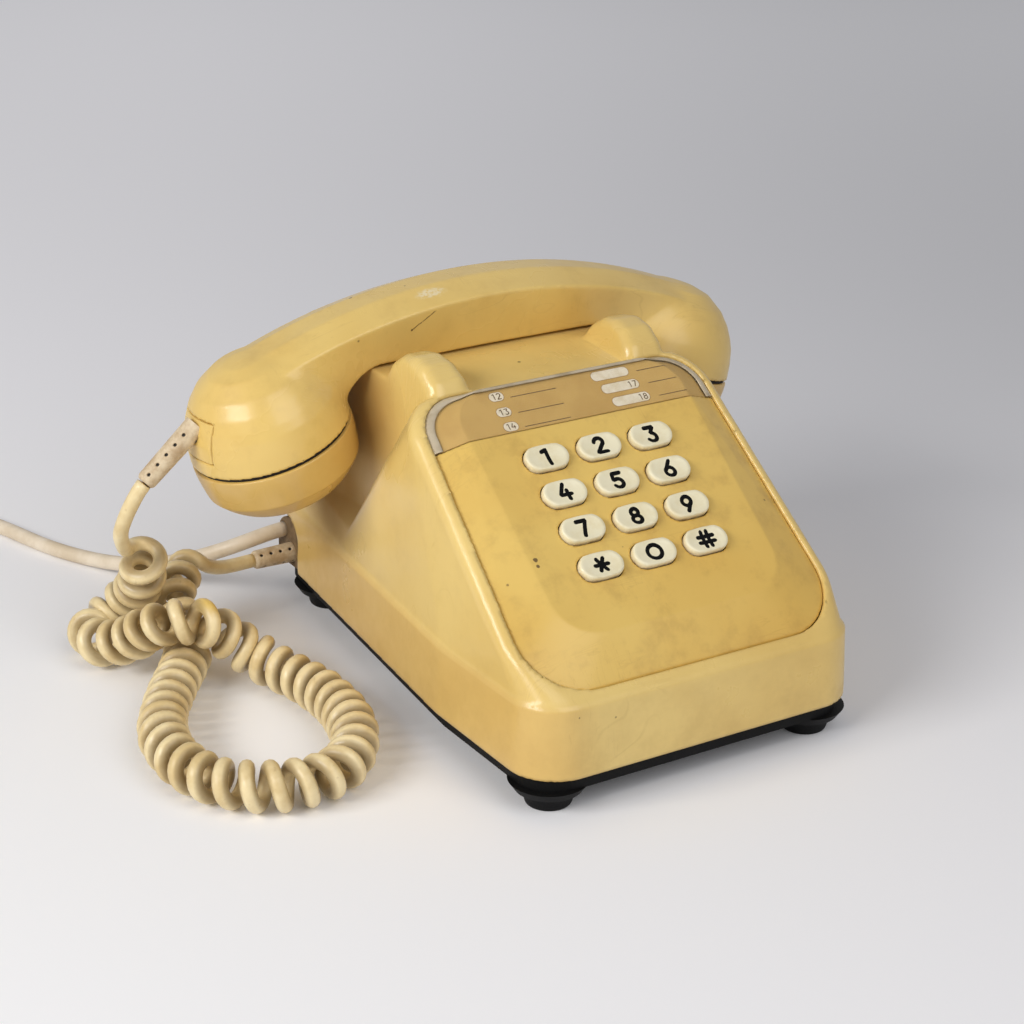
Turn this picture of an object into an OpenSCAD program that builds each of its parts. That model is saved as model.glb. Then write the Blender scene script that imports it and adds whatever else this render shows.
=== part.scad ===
// Push-button desk telephone with a lift-off handset, a curly handset cord and a line cord.
// Millimetres. +Z is up, the keypad faces -Y, and the origin is on the table below the middle
// of the body. The faceplate, its keys and the keypad behind it are drawn in face coordinates:
// X across, Y up the slope and Z out of the sloping face, with the zero at the keypad's centre.

/* [Body] */
// Length of the body at its rim, front to back
body_l = 196; // [190:1:204]
// Width of the body at its rim, at the front
body_w = 122.8; // [120:0.2:126]
// Width of the body at its rim, at the back
body_rear_w = 96; // [92:1:100]
// Height of the lower rim above the table
rim_z = 12.8; // [12.4:0.1:13.6]
// Height of the crease where the skirt meets the sloping sides
crease_z = 36.7; // [34:0.1:38]
// How far the skirt leans in between its rim and its crease
skirt_draft = 0.7; // [0.3:0.1:1.6]
// Radius of the front corners in plan
front_corner_r = 16; // [12:1:20]
// Radius of the rear corners in plan
rear_corner_r = 12; // [8:1:16]
// Wall of the housing
wall = 2.5; // [2:0.1:3]
// Width of the neck that carries the cradle
neck_w = 89; // [86:1:91]
// Height of the cradle's floor above the table
neck_z = 102.6; // [100:0.1:102.8]
// Width of each cradle horn
horn_w = 17; // [13:1:18]
// Height of the front horns above the neck
horn_rise = 11; // [9:0.2:12]

/* [Face] */
// Slope of the face from the level
face_tilt = 38; // [36:0.5:40]
// Distance from the front rim back to the keypad's centre
face_setback = 47.1; // [46:0.1:49]
// Height of the keypad's centre on the raised field
face_z = 76.1; // [75:0.1:78]
// Depth of the housing's face below the raised field
face_drop = 3.5; // [3:0.1:4]
// Slope length of the faceplate below the keypad's centre
plate_down = 56.2; // [55:0.1:57]
// Slope length of the faceplate above the keypad's centre
plate_up = 50.3; // [49:0.1:51]
// Width of the faceplate at its lower edge
plate_w = 112; // [108:0.5:113]
// Width of the faceplate at its upper edge
plate_top_w = 104; // [100:0.5:105]
// Thickness of the faceplate under the raised field
plate_t = 2.4; // [2:0.1:2.8]
// Slope height where the card window starts
card_s = 31.4; // [30:0.1:32]
// Thickness of the clear card window
window_t = 1.2; // [0.8:0.1:1.5]

/* [Keys] */
// Distance between columns of keys
pitch_x = 19.5; // [18.4:0.1:20.5]
// Distance between rows of keys, along the slope
pitch_s = 13.3; // [12.4:0.1:14]
// Width of a key cap
key_w = 15.4; // [14:0.1:16]
// Height of a key cap, along the slope
key_h = 8.9; // [8:0.1:9.6]
// Height of the caps above the raised field
key_rise = 2; // [1.6:0.1:2.6]
// Travel of a key
key_travel = 2; // [1.4:0.1:2.2]

/* [Handset] */
// Distance from the back of the body to the handset's centre line.
handset_back = 55; // [53:0.5:56]
// Distance from the middle of the handset to the middle of each cup
cup_x = 75.3; // [74:0.1:77]
// Height of the middle of each cup's seam above the table
cup_z = 82.1; // [81:0.1:84]
// Radius of the cups at their seams
cup_r = 27.2; // [26:0.1:28]
// Lean of the cups towards each other
cup_tilt = 19; // [16:0.5:20]
// Depth of a screwed cap below its seam
cap_depth = 19.5; // [18:0.5:20]
// Radius of the arch that the handle follows
handle_r = 213; // [205:1:220]
// Height of the handle's top above the table
handle_top = 126; // [125:0.1:128]
// Height of the handle's flat underside above the table
handle_under = 103.6; // [103.6:0.1:105]
// Greatest width of the handle
handle_w = 31; // [28:0.5:34]
// Radius of the two arches where the handle's underside turns down into the cups
arch_r = 14; // [10:0.5:18]

/* [Fits] */
// Gap round everything that moves or is fitted
fit = 0.3; // [0.25:0.05:0.4]
// Diameter of the case screws
screw_d = 3; // [2.6:0.1:3.4]
// Travel of the hook plungers
hook_travel = 4.5; // [3:0.1:5]
// Diameter of the hook plungers
plunger_d = 7; // [6:0.1:8]

/* [Feet] */
// Height of a rubber foot
foot_h = 6; // [5:0.1:6.6]
// Diameter of a foot where it stands on the table
foot_d = 15.2; // [14:0.1:17]
// Distance from the middle to each front foot
foot_x = 48.5; // [46:0.5:49]

/* [Ringer] */
// Radius of a gong
gong_r = 17.5; // [16:0.1:18]
// Gap between the two gongs
gong_gap = 7; // [6.4:0.1:8]
// Radius of the clapper's ball
ball_r = 2.2; // [1.8:0.1:2.4]

/* [Cords] */
// Diameter of the straight curly-cord leads
lead_d = 5; // [4.6:0.1:5.4]
// Outer diameter of the curly cord's coil
curl_d = 16; // [15:0.5:18]
// Diameter of the line cord
line_d = 5.4; // [5:0.1:6]
// Diameter of the cord sleeves at their thick ends
sleeve_d = 7.4; // [7:0.1:8]
// Length of the cord sleeves
sleeve_l = 22; // [20:1:30]

/* [Hidden] */
$fn = 48;
face_y = -body_l / 2 + face_setback;
plate_edge = 4.8;
plateau_w = 83;
plateau_down = 41;
pocket = 4;
edge_r = 4;
border = 4.6;
pocket_n = -face_drop - pocket;
cols = [-1, 0, 1];
rows = [1.5, 0.5, -0.5, -1.5];
key_names = ["key_1", "key_2", "key_3", "key_4", "key_5", "key_6",
             "key_7", "key_8", "key_9", "key_star", "key_0", "key_hash"];
flange_t = 1.2;
flange_n = -plate_t - fit;
frame_n = flange_n - flange_t - key_travel - fit;
frame_t = 2.5;
stem_r = 2.4;
stem_n = frame_n - frame_t - fit;
board_n = stem_n - key_travel - fit - 1.5;
mat_t = 1.5;
keypad_w = 2 * pitch_x + key_w + 14;
keypad_h = 3 * pitch_s + key_h + 12;
plate_z = 8;
skirt_bevel = 1.1;
plate_top = rim_z - fit;
foot_rear_x = foot_x - 12;
foot_y = [-body_l / 2 + 13.6, body_l / 2 - 20];
handset_y = body_l / 2 - handset_back;
boss_at = [[42, -body_l / 2 + 34], [-42, -body_l / 2 + 34], [35, body_l / 2 - 14], [-22, body_l / 2 - 14]];
board_z = plate_top + 4;
gong_x = gong_r + gong_gap / 2;
gong_y = handset_y + 14;
board_front = -body_l / 2 + 22;
board_back = gong_y - 51;
gong_z = 30;
gong_h = 13;
pivot_y = gong_y - 27;
hook_x = 16;
bar_z = neck_z - wall - hook_travel - fit - 5;
shelf_z = bar_z - 18;
saddle = handle_under - fit;
seam = 0.8;
outlet_y = body_l / 2 - 10;
outlet_r = 9;
outlet_z = 22;
grommet_x = -body_rear_w / 2 + 1;

// Moves children into the face coordinates.
module on_face() {
    translate([0, face_y, face_z])
        rotate([face_tilt, 0, 0])
            children();
}

// Moves children to a cup: the origin is the seam's centre and +Z runs up the cup's axis.
module at_cup(side) {
    translate([side * cup_x, handset_y, cup_z])
        rotate([0, side * cup_tilt, 0])
            children();
}

// Places children at each of the four places of a corner pattern in plan.
module at_each(places) {
    for (p = places)
        translate([p[0], p[1], 0])
            children();
}

// Plan of the body: parallel sides at the front, which taper to the back. d draws it smaller.
module body_plan(d = 0) {
    hull() {
        for (side = [-1, 1]) {
            for (y = [-body_l / 2 + front_corner_r, -40])
                translate([side * (body_w / 2 - front_corner_r), y])
                    circle(r = front_corner_r - d);
            translate([side * (body_rear_w / 2 - rear_corner_r), body_l / 2 - rear_corner_r])
                circle(r = rear_corner_r - d);
        }
    }
}

// A level rounded rectangle from y0 to y1, as a thin slab for lofting.
module slab(w, y0, y1, r, z) {
    translate([0, 0, z])
        linear_extrude(0.4)
            hull()
                for (side = [-1, 1], y = [y0 + r, y1 - r])
                    translate([side * (w / 2 - r), y])
                        circle(r = r, $fn = 32);
}

// The skirt: from the rim up to the crease, leaning in a little, with a bevelled top edge.
module skirt(d = 0) {
    hull() {
        translate([0, 0, rim_z])
            linear_extrude(4)
                body_plan(d);
        translate([0, 0, crease_z - 1.6 - d / 2])
            linear_extrude(0.4)
                body_plan(skirt_draft + d);
        translate([0, 0, crease_z - 0.4 - d / 2])
            linear_extrude(0.4)
                body_plan(skirt_draft + skirt_bevel + d);
    }
}

// The wedge: from the crease up to the sloping face, square to the face at its top end. Its
// face is the faceplate's outline with a rounded border.
module wedge(d = 0) {
    hull() {
        intersection() {
            translate([0, 0, crease_z - 3])
                linear_extrude(2.9)
                    body_plan(skirt_draft + skirt_bevel + d + 0.15);
            translate([-100, -150, 0])
                cube([200, 150 + wedge_foot_y() - d, 100]);
        }
        on_face()
            intersection() {
                for (k = [0:3])
                    translate([0, 0, -face_drop - edge_r * (1 - cos(30 * k)) - (d > 0 ? pocket + wall : 0) - 0.1])
                        linear_extrude(0.1)
                            plate_outline(d - border + edge_r * (1 - sin(30 * k)));
                translate([-100, -100, -50])
                    cube([200, 101.2 + plate_up - d, 100]);
            }
    }
}

// Where the plane square to the face, at the top of the faceplate, comes down to the crease.
function wedge_foot_y() =
    face_y + plate_up * cos(face_tilt)
    + (face_z + plate_up * sin(face_tilt) - crease_z) * tan(face_tilt);

// The narrow neck under the cradle, with the flare that carries it down to the skirt.
module neck(d = 0) {
    hull() {
        slab(neck_w - 2 * d, face_y + 40, body_l / 2 - 20 - d, 9, neck_z - 0.4 - d);
        slab(neck_w + 3 - 2 * d, face_y + 40, body_l / 2 - 7 - d, 9, crease_z + 16);
    }
    hull() {
        slab(neck_w + 3 - 2 * d, face_y + 40, body_l / 2 - 7 - d, 9, crease_z + 16);
        translate([0, 0, crease_z - 3])
            linear_extrude(2.8)
                intersection() {
                    body_plan(skirt_draft + skirt_bevel + d + 0.4);
                    translate([-100, -20])
                        square([200, 200]);
                }
    }
}

// One cradle horn: a rounded fin through the knots. Each is a distance behind the handset's
// centre line, a height above the neck and what its width gains there. Its outer side runs on
// from the neck's side.
module horn(knots) {
    r = 4;
    hull()
        for (k = knots, x = [0, horn_w + k[2] - 2 * r])
            translate([neck_w / 2 - r - x, handset_y + k[0], neck_z + k[1] * horn_rise / 11 - r])
                sphere(r = r, $fn = 20);
}

module housing() {
    front_horn = [[-51.9, -10, 0], [-51.4, -4.1, -0.4], [-49.6, 1.8, -1.2], [-46.4, 6.7, -2.2],
                  [-41.9, 10, -3.2], [-36.9, 11, -3.8], [-31.4, 10, -3.8], [-26.4, 6.8, -3.4],
                  [-22.6, 1.8, -2.6], [-19.5, -4, -1.4], [-17.9, -10, 0]];
    rear_horn = [[19, -10, 0], [19.6, -4.6, -0.6], [21.4, 0.4, -1.4], [24.4, 4.8, -2.4],
                 [28.4, 7.2, -3.2], [32.4, 7, -3.2], [35.4, 4, -2.4], [37.4, -3.6, -1.2], [39, -16, 0]];
    color([0.87, 0.75, 0.44])
    difference() {
        union() {
            skirt();
            wedge();
            neck();
            for (side = [0, 1])
                mirror([side, 0, 0]) {
                    horn(front_horn);
                    horn(rear_horn);
                }
        }
        difference() {
            union() {
                skirt(wall);
                wedge(wall);
                neck(wall);
            }
            at_each(boss_at)
                translate([0, 0, plate_top])
                    cylinder(d = screw_d + 5, h = 120, $fn = 24);
            for (side = [0, 1])
                mirror([side, 0, 0])
                    translate([boss_at[0][0], boss_at[0][1] - 1, plate_z + 9])
                        cube([body_w / 2 - boss_at[0][0], 2, 120]);
        }
        translate([-100, -150, 0])
            cube([200, 300, rim_z]);
        at_each(boss_at)
            cylinder(d = screw_d - 0.4, h = rim_z + 16, $fn = 24);
        on_face() {
            translate([0, 0, pocket_n])
                linear_extrude(30)
                    offset(delta = fit)
                        plate_outline();
            translate([-keypad_w / 2 - 2, -keypad_h / 2 - 2, -30])
                cube([keypad_w + 4, keypad_h + 4, 40]);
        }
        for (side = [-1, 1])
            translate([side * hook_x, handset_y, neck_z - 30])
                cylinder(d = plunger_d + 2 * fit, h = 60, $fn = 32);
        translate([-100, outlet_y, outlet_z])
            rotate([0, 90, 0])
                cylinder(r = outlet_r, h = 70);
        translate([-100, outlet_y - outlet_r, 0])
            cube([70, 2 * outlet_r, outlet_z]);
    }
}

// Outline of the faceplate, in face coordinates: wider below, with large lower corners.
module plate_outline(d = 0) {
    hull()
        for (side = [-1, 1]) {
            translate([side * (plate_w / 2 - 20), -plate_down + 20])
                circle(r = 20 - d);
            translate([side * (plate_top_w / 2 - 14), plate_up - 14])
                circle(r = 14 - d);
        }
}

// The faceplate's solid form: a bevel that climbs from the rounded edge to the raised field.
// d draws it smaller all round and lower.
module plate_form(d = 0) {
    hull() {
        translate([0, 0, pocket_n + 0.1 - d])
            linear_extrude(2.8)
                plate_outline(d);
        translate([0, 0, -0.4 - d])
            linear_extrude(0.4)
                hull()
                    for (side = [-1, 1]) {
                        translate([side * (plateau_w / 2 - 14), -plateau_down + 14])
                            circle(r = 14 - d / 2);
                        translate([side * (plateau_w / 2 - 12), plate_up - 14])
                            circle(r = 12 - d / 2);
                    }
    }
}

// Cap outline of a key: a stadium.
module stadium(w, h) {
    square([w - h, h], center = true);
    for (side = [-1, 1])
        translate([side * (w - h) / 2, 0])
            circle(d = h);
}

// Places children at key number i, counted from the upper left.
module at_key(i) {
    translate([cols[i % 3] * pitch_x, rows[floor(i / 3)] * pitch_s, 0])
        children();
}

module faceplate() {
    color([0.85, 0.71, 0.38])
    on_face()
        difference() {
            plate_form();
            translate([-keypad_w / 2 - 4, -keypad_h / 2 - 4, -30])
                cube([keypad_w + 8, keypad_h + 8, 30 - plate_t]);
            difference() {
                translate([-80, card_s, -20])
                    cube([160, 40, 40]);
                plate_form(window_t + 0.6);
            }
            for (i = [0:11])
                at_key(i)
                    translate([0, 0, -20])
                        linear_extrude(40)
                            stadium(key_w + 2 * fit, key_h + 2 * fit);
        }
}

module card_insert() {
    color([0.93, 0.91, 0.84])
    on_face()
        translate([-plateau_w / 2 + 8.5, card_s + 2, -window_t - 0.6])
            cube([plateau_w - 17, plate_up - card_s - 7, 0.5]);
}

module card_window() {
    color([0.8, 0.78, 0.7, 0.5])
    on_face()
        difference() {
            intersection() {
                plate_form();
                translate([-80, card_s + 0.1, -20])
                    cube([160, 40, 40]);
            }
            plate_form(window_t);
        }
}

module keypad_frame() {
    color([0.2, 0.2, 0.2])
    on_face()
        difference() {
            union() {
                translate([-keypad_w / 2, -keypad_h / 2, frame_n - frame_t])
                    cube([keypad_w, keypad_h, frame_t]);
                for (x = [-1, 1])
                    translate([x * (keypad_w / 2 - 1.2) - 1.2, -keypad_h / 2, frame_n - 0.1])
                        cube([2.4, keypad_h, -plate_t - frame_n + 0.1]);
                for (x = [-1, 1], y = [-1, 1])
                    translate([x * (keypad_w / 2 - 3), y * (keypad_h / 2 - 3), board_n])
                        cylinder(r = 2.6, h = frame_n - frame_t - board_n + 0.1);
            }
            for (i = [0:11])
                at_key(i)
                    translate([0, 0, frame_n - 10])
                        cylinder(r = stem_r + fit, h = 20);
            for (x = [-1, 1], y = [-1, 1])
                translate([x * (keypad_w / 2 - 3), y * (keypad_h / 2 - 3), board_n - 1])
                    cylinder(r = 0.9, h = 8);
        }
}

module keypad_board() {
    color([0.55, 0.45, 0.2])
    on_face()
        difference() {
            translate([-keypad_w / 2, -keypad_h / 2, board_n - 1.6])
                cube([keypad_w, keypad_h, 1.6]);
            for (x = [-1, 1], y = [-1, 1])
                translate([x * (keypad_w / 2 - 3), y * (keypad_h / 2 - 3), board_n - 5])
                    cylinder(r = 1.3, h = 10);
        }
}

module key_mat() {
    color([0.35, 0.35, 0.37])
    on_face()
        difference() {
            translate([-keypad_w / 2 + 6, -keypad_h / 2 + 0.5, board_n])
                cube([keypad_w - 12, keypad_h - 1, mat_t]);
            for (i = [0:11])
                at_key(i)
                    translate([0, 0, board_n + mat_t - 0.4])
                        difference() {
                            cylinder(r = stem_r + 1.6, h = 1);
                            cylinder(r = stem_r + 0.8, h = 1);
                        }
        }
}

module keypad_screws() {
    color([0.7, 0.7, 0.7])
    on_face()
        for (x = [-1, 1], y = [-1, 1])
            translate([x * (keypad_w / 2 - 3), y * (keypad_h / 2 - 3), board_n - 1.6]) {
                translate([0, 0, -1.4])
                    cylinder(r = 2.2, h = 1.4);
                translate([0, 0, -0.1])
                    cylinder(r = 0.9, h = 7);
            }
}

// One key: a dished cap, the flange that stops it under the faceplate, and its round stem.
module key(i) {
    color([0.92, 0.88, 0.73])
    on_face()
        at_key(i) {
            difference() {
                translate([0, 0, flange_n - 0.1])
                    linear_extrude(key_rise - flange_n + 0.1)
                        stadium(key_w, key_h);
                translate([0, 0, key_rise + 44.5])
                    sphere(r = 45, $fn = 64);
            }
            translate([0, 0, flange_n - flange_t])
                linear_extrude(flange_t)
                    stadium(key_w + 1.8, key_h + 1.8);
            translate([0, 0, stem_n])
                cylinder(r = stem_r, h = flange_n - flange_t - stem_n + 0.1);
        }
}

module base_plate() {
    color([0.08, 0.08, 0.08])
    difference() {
        union() {
            translate([0, 0, plate_z])
                linear_extrude(plate_top - plate_z)
                    body_plan(wall + fit);
            for (k = [0, 1], side = [-1, 1])
                translate([side * (k == 0 ? foot_x : foot_rear_x), foot_y[k], foot_h - 0.8])
                    cylinder(r1 = foot_d / 2 + 3, r2 = foot_d / 2 + 5, h = plate_z - foot_h + 0.9);
            for (x = [-36, 36], y = [-70, 0])
                translate([x, y, plate_top - 0.1])
                    cylinder(r = 3, h = board_z - plate_top + 0.1);
        }
        translate([0, 0, plate_z + 2.4])
            linear_extrude(20)
                difference() {
                    body_plan(wall + 3);
                    for (x = [-36, 36], y = [-70, 0])
                        translate([x, y])
                            circle(r = 3);
                    for (p = boss_at)
                        translate([p[0], p[1]])
                            circle(d = screw_d + 5);
                    translate([-30, gong_y - 46])
                        square([60, 66]);
                }
        at_each(boss_at) {
            translate([0, 0, -1])
                cylinder(d = screw_d + 2 * fit, h = 40);
            translate([0, 0, -1])
                cylinder(d = screw_d + 3.6, h = plate_z + 2.6);
        }
        for (k = [0, 1], side = [-1, 1])
            translate([side * (k == 0 ? foot_x : foot_rear_x), foot_y[k], -1])
                cylinder(r = 3 + fit, h = 20);
    }
}

module rubber_feet() {
    color([0.05, 0.05, 0.05])
    for (k = [0, 1], side = [-1, 1])
        translate([side * (k == 0 ? foot_x : foot_rear_x), foot_y[k], 0])
            rotate_extrude()
                polygon([[0, 0], [foot_d / 2 - 1, 0], [foot_d / 2, 1], [foot_d / 2 + 0.8, foot_h - 0.8],
                         [3, foot_h - 0.8], [3, plate_z + 1], [0, plate_z + 1]]);
}

module case_screws() {
    color([0.6, 0.6, 0.58])
    at_each(boss_at) {
        translate([0, 0, plate_z - 0.6])
            cylinder(d = screw_d + 2.8, h = 2.2);
        translate([0, 0, plate_z])
            cylinder(d = screw_d, h = 16);
    }
}

module main_board() {
    color([0.2, 0.4, 0.25])
    difference() {
        translate([-41, board_front, board_z])
            cube([82, board_back - board_front, 1.6]);
        at_each(boss_at)
            cylinder(d = screw_d + 5 + 2 * fit + 1, h = 80);
    }
}

module speech_transformer() {
    color([0.35, 0.33, 0.3])
    translate([-26, board_back - 28, board_z + 1.6]) {
        difference() {
            cube([28, 24, 20]);
            for (x = [6, 18])
                translate([x, -1, 5])
                    cube([4, 26, 10]);
        }
        translate([6.4, -3, 5.4])
            difference() {
                cube([15.2, 30, 9.2]);
                translate([3.7, 2.9, -1])
                    cube([7.8, 24.2, 12]);
            }
    }
}

module capacitors() {
    color([0.75, 0.55, 0.25]) {
        for (x = [14, 26])
            translate([x, board_back - 12, board_z + 1.6])
                cylinder(r = 5, h = 16);
        translate([10, board_back - 40, board_z + 1.6])
            cube([22, 9, 12]);
        for (x = [-24, -12, 0])
            translate([x, board_back - 58, board_z + 1.6])
                cylinder(r = 3, h = 7);
    }
}

module terminal_block() {
    color([0.85, 0.82, 0.7])
    translate([-14, gong_y + 20.5, plate_top])
        difference() {
            cube([24, 12, 9]);
            for (x = [3:4.5:21])
                translate([x, 6, 4])
                    cylinder(r = 1.4, h = 9);
        }
}

module ringer_base() {
    color([0.62, 0.62, 0.6]) {
        difference() {
            translate([-30, gong_y - 46, plate_top])
                cube([60, 66, 2]);
            translate([0, pivot_y, plate_top - 1])
                cylinder(r = 1.5, h = 5);
        }
        for (side = [-1, 1])
            translate([side * gong_x, gong_y, plate_top + 1.9])
                difference() {
                    cylinder(r = 4, h = gong_z + gong_h - 1.6 - plate_top - 1.9);
                    translate([0, 0, 4])
                        cylinder(r = 1.2, h = 40);
                }
        translate([-13, gong_y - 44, plate_top + 1.9])
            difference() {
                cube([26, 4, 22]);
                for (x = [5, 21])
                    translate([x, -1, 12])
                        rotate([-90, 0, 0])
                            cylinder(r = 2.2, h = 6);
            }
    }
}

module ringer_coils() {
    color([0.7, 0.35, 0.15])
    for (x = [-8, 8])
        translate([x, gong_y - 45, plate_top + 13.9])
            rotate([-90, 0, 0])
                rotate_extrude()
                    polygon([[0, 0], [2.2, 0], [2.2, 5.4], [7.4, 5.4], [7.4, 6.4], [6.4, 6.4],
                             [6.4, 12.6], [7.4, 12.6], [7.4, 13.6], [2.2, 13.6], [2.2, 14.6],
                             [0, 14.6]]);
}

// A gong is a spun bowl with its mouth down, held on its post through the crown.
module gong(side) {
    color([0.72, 0.6, 0.3])
    translate([side * gong_x, gong_y, gong_z])
        rotate_extrude()
            polygon([[gong_r, 0], [gong_r, 5], [gong_r - 2, 9.5], [gong_r - 6, gong_h - 0.6],
                     [7, gong_h], [1.7, gong_h], [1.7, gong_h - 1.4], [7, gong_h - 1.4],
                     [gong_r - 6.6, gong_h - 2], [gong_r - 3.2, 8.8], [gong_r - 1.3, 4.6],
                     [gong_r - 1.3, 0]]);
}

module gong_screws() {
    color([0.75, 0.75, 0.73])
    for (side = [-1, 1])
        translate([side * gong_x, gong_y, gong_z + gong_h]) {
            cylinder(r = 3, h = 1.8);
            translate([0, 0, -9])
                cylinder(r = 1.2, h = 9.1);
        }
}

// The clapper turns on its pin: an armature bar faces the coils, and a rod carries the ball.
module clapper() {
    color([0.5, 0.5, 0.5])
    translate([0, pivot_y, 0]) {
        difference() {
            union() {
                translate([0, 0, plate_top + 3])
                    cylinder(r = 3, h = 19);
                translate([-13, -1.8, plate_top + 9])
                    cube([26, 3.6, 10]);
            }
            cylinder(r = 1.5 + 0.05, h = 60);
        }
        translate([0, 2.4, gong_z + 2.5])
            rotate([-90, 0, 0])
                cylinder(r = 0.8, h = 25);
        translate([0, gong_y - pivot_y, gong_z + 2.5])
            sphere(r = ball_r);
    }
}

module clapper_pin() {
    color([0.8, 0.8, 0.8])
    translate([0, pivot_y, plate_top]) {
        cylinder(r = 1.5, h = 24);
        translate([0, 0, 24])
            cylinder(r = 2.6, h = 1);
    }
}

// The bracket hangs from the cradle's floor and carries the spring, the switch and the bar.
module hook_bracket() {
    color([0.66, 0.66, 0.64])
    difference() {
        translate([-33, handset_y - 9, shelf_z - 2])
            cube([66, 18, neck_z - wall - shelf_z + 2]);
        translate([-31.4, handset_y - 20, shelf_z])
            cube([62.8, 40, 60]);
        translate([0, handset_y, shelf_z - 5])
            cylinder(r = 1.5, h = 10);
    }
}

module hook_plungers() {
    color([0.9, 0.86, 0.72]) {
        for (side = [-1, 1])
            translate([side * hook_x, handset_y, bar_z + 4.9])
                cylinder(d = plunger_d, h = saddle - bar_z - 4.9);
        translate([-hook_x - 6, handset_y - 5, bar_z])
            cube([2 * hook_x + 12, 10, 5]);
        translate([0, handset_y, bar_z - 4])
            cylinder(r = 2.4, h = 4.1);
    }
}

// A compression spring, as the tube that it fills.
module hook_spring() {
    color([0.75, 0.75, 0.75])
    translate([0, handset_y, shelf_z])
        difference() {
            cylinder(r = 4, h = bar_z - shelf_z);
            translate([0, 0, -1])
                cylinder(r = 3, h = bar_z - shelf_z + 2);
        }
}

module hook_switch() {
    color([0.15, 0.15, 0.18]) {
        translate([12, handset_y - 6, shelf_z])
            cube([14, 12, 7]);
        for (x = [15, 19, 23])
            translate([x, handset_y - 4, shelf_z + 6.9])
                cube([0.5, 8, 8]);
    }
}

// The rubber grommet fills the arched outlet, and the cords leave its flat outer face.
module cord_grommet() {
    color([0.16, 0.14, 0.12])
    difference() {
        translate([grommet_x, outlet_y, 0])
        intersection() {
            rotate([0, 90, 0])
                linear_extrude(9)
                    union() {
                        translate([-outlet_z, 0])
                            circle(r = outlet_r - fit);
                        translate([-outlet_z, -outlet_r + fit])
                            square([outlet_z, 2 * (outlet_r - fit)]);
                    }
            translate([-1, -30, rim_z + 0.2])
                cube([20, 60, 60]);
        }
        base_sleeve_axis()
            translate([0, 0, -5])
                cylinder(d = sleeve_d + 0.2, h = 40);
        translate([grommet_x - 5, outlet_y + 4.5, outlet_z + 3])
            rotate([0, 90, 0])
                cylinder(d = line_d + 0.2, h = 30);
    }
}

// Moves children to the base sleeve's inner end, with +Z outwards.
module base_sleeve_axis() {
    translate([grommet_x + 7, outlet_y - 1, outlet_z - 4])
        rotate([0, -90, 0])
            children();
}

// Side view of the handset's handle: the long arch above, the flat underside below, and an
// arch at each end where the underside turns down into a cup.
module handle_side() {
    difference() {
        intersection() {
            translate([0, handle_top - handle_r])
                circle(r = handle_r, $fn = 180);
            translate([-cup_x - 6, cup_z])
                square([2 * cup_x + 12, 80]);
        }
        hull()
            for (side = [-1, 1])
                translate([side * (cup_x - 21.5 - arch_r), handle_under - arch_r])
                    circle(r = arch_r);
        translate([-cup_x + 21.5, 0])
            square([2 * cup_x - 43, handle_under - arch_r]);
    }
}

// A cup: a dome that rises from the seam.
module cup_form(d = 0) {
    rotate_extrude($fn = 64)
        polygon([[0, seam / 2], [cup_r - d, seam / 2], [cup_r - d - 0.6, 6], [cup_r - d - 1.7, 11],
                 [cup_r - d - 3.2, 14.5], [cup_r - d - 5.5, 18.5], [cup_r - d - 9, 22.6],
                 [cup_r - d - 15, 26.8 - d], [cup_r - d - 21, 28.4 - d], [0, 28.8 - d]]);
}

// The rectangular pocket in the outer end of the mouth cup, for the cord's block.
module block_pocket(gap) {
    translate([-cup_x - 33, handset_y - 9.7 + gap, cup_z - 3 + gap])
        cube([10.3 - gap, 19.4 - 2 * gap, 13.6 - 2 * gap]);
}

module handset_shell() {
    w = handle_w / 2;
    color([0.87, 0.74, 0.43])
    difference() {
        union() {
            translate([0, handset_y, 0])
                intersection() {
                    rotate([90, 0, 0])
                        linear_extrude(60, center = true)
                            handle_side();
                    translate([0, 0, handle_top - handle_r])
                        rotate([90, 0, 0])
                            rotate_extrude($fn = 180)
                                polygon([[handle_r - 50, -w + 5], [handle_r - 23, -w + 3.5],
                                         [handle_r - 4, -w], [handle_r, -5], [handle_r, 5],
                                         [handle_r - 4, w], [handle_r - 23, w - 3.5],
                                         [handle_r - 50, w - 5]]);
                }
            for (side = [-1, 1])
                at_cup(side)
                    cup_form();
        }
        for (side = [-1, 1])
            at_cup(side) {
                rotate_extrude($fn = 64)
                    polygon([[0, -1], [cup_r - 4, -1], [cup_r - 4, 8], [cup_r - 6.5, 12],
                             [cup_r - 10, 16], [cup_r - 14, 18], [0, 18]]);
                translate([0, 0, -40])
                    cylinder(r = cup_r + 2, h = 40 + seam / 2);
            }
        block_pocket(0);
    }
}

// The square moulded block at the mouth end, where the cord's sleeve comes out.
module cord_block() {
    color([0.88, 0.76, 0.46])
    difference() {
        intersection() {
            block_pocket(fit);
            at_cup(-1)
                cup_form();
        }
        sleeve_axis()
            cylinder(d = sleeve_d + 0.1, h = 60);
    }
}

// Moves children to the handset sleeve: the origin is its inner end and +Z runs outwards.
module sleeve_axis() {
    translate(sleeve_tip)
        rotate([0, -90 - sleeve_dip, 0])
            translate([0, 0, -sleeve_l])
                children();
}

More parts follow.
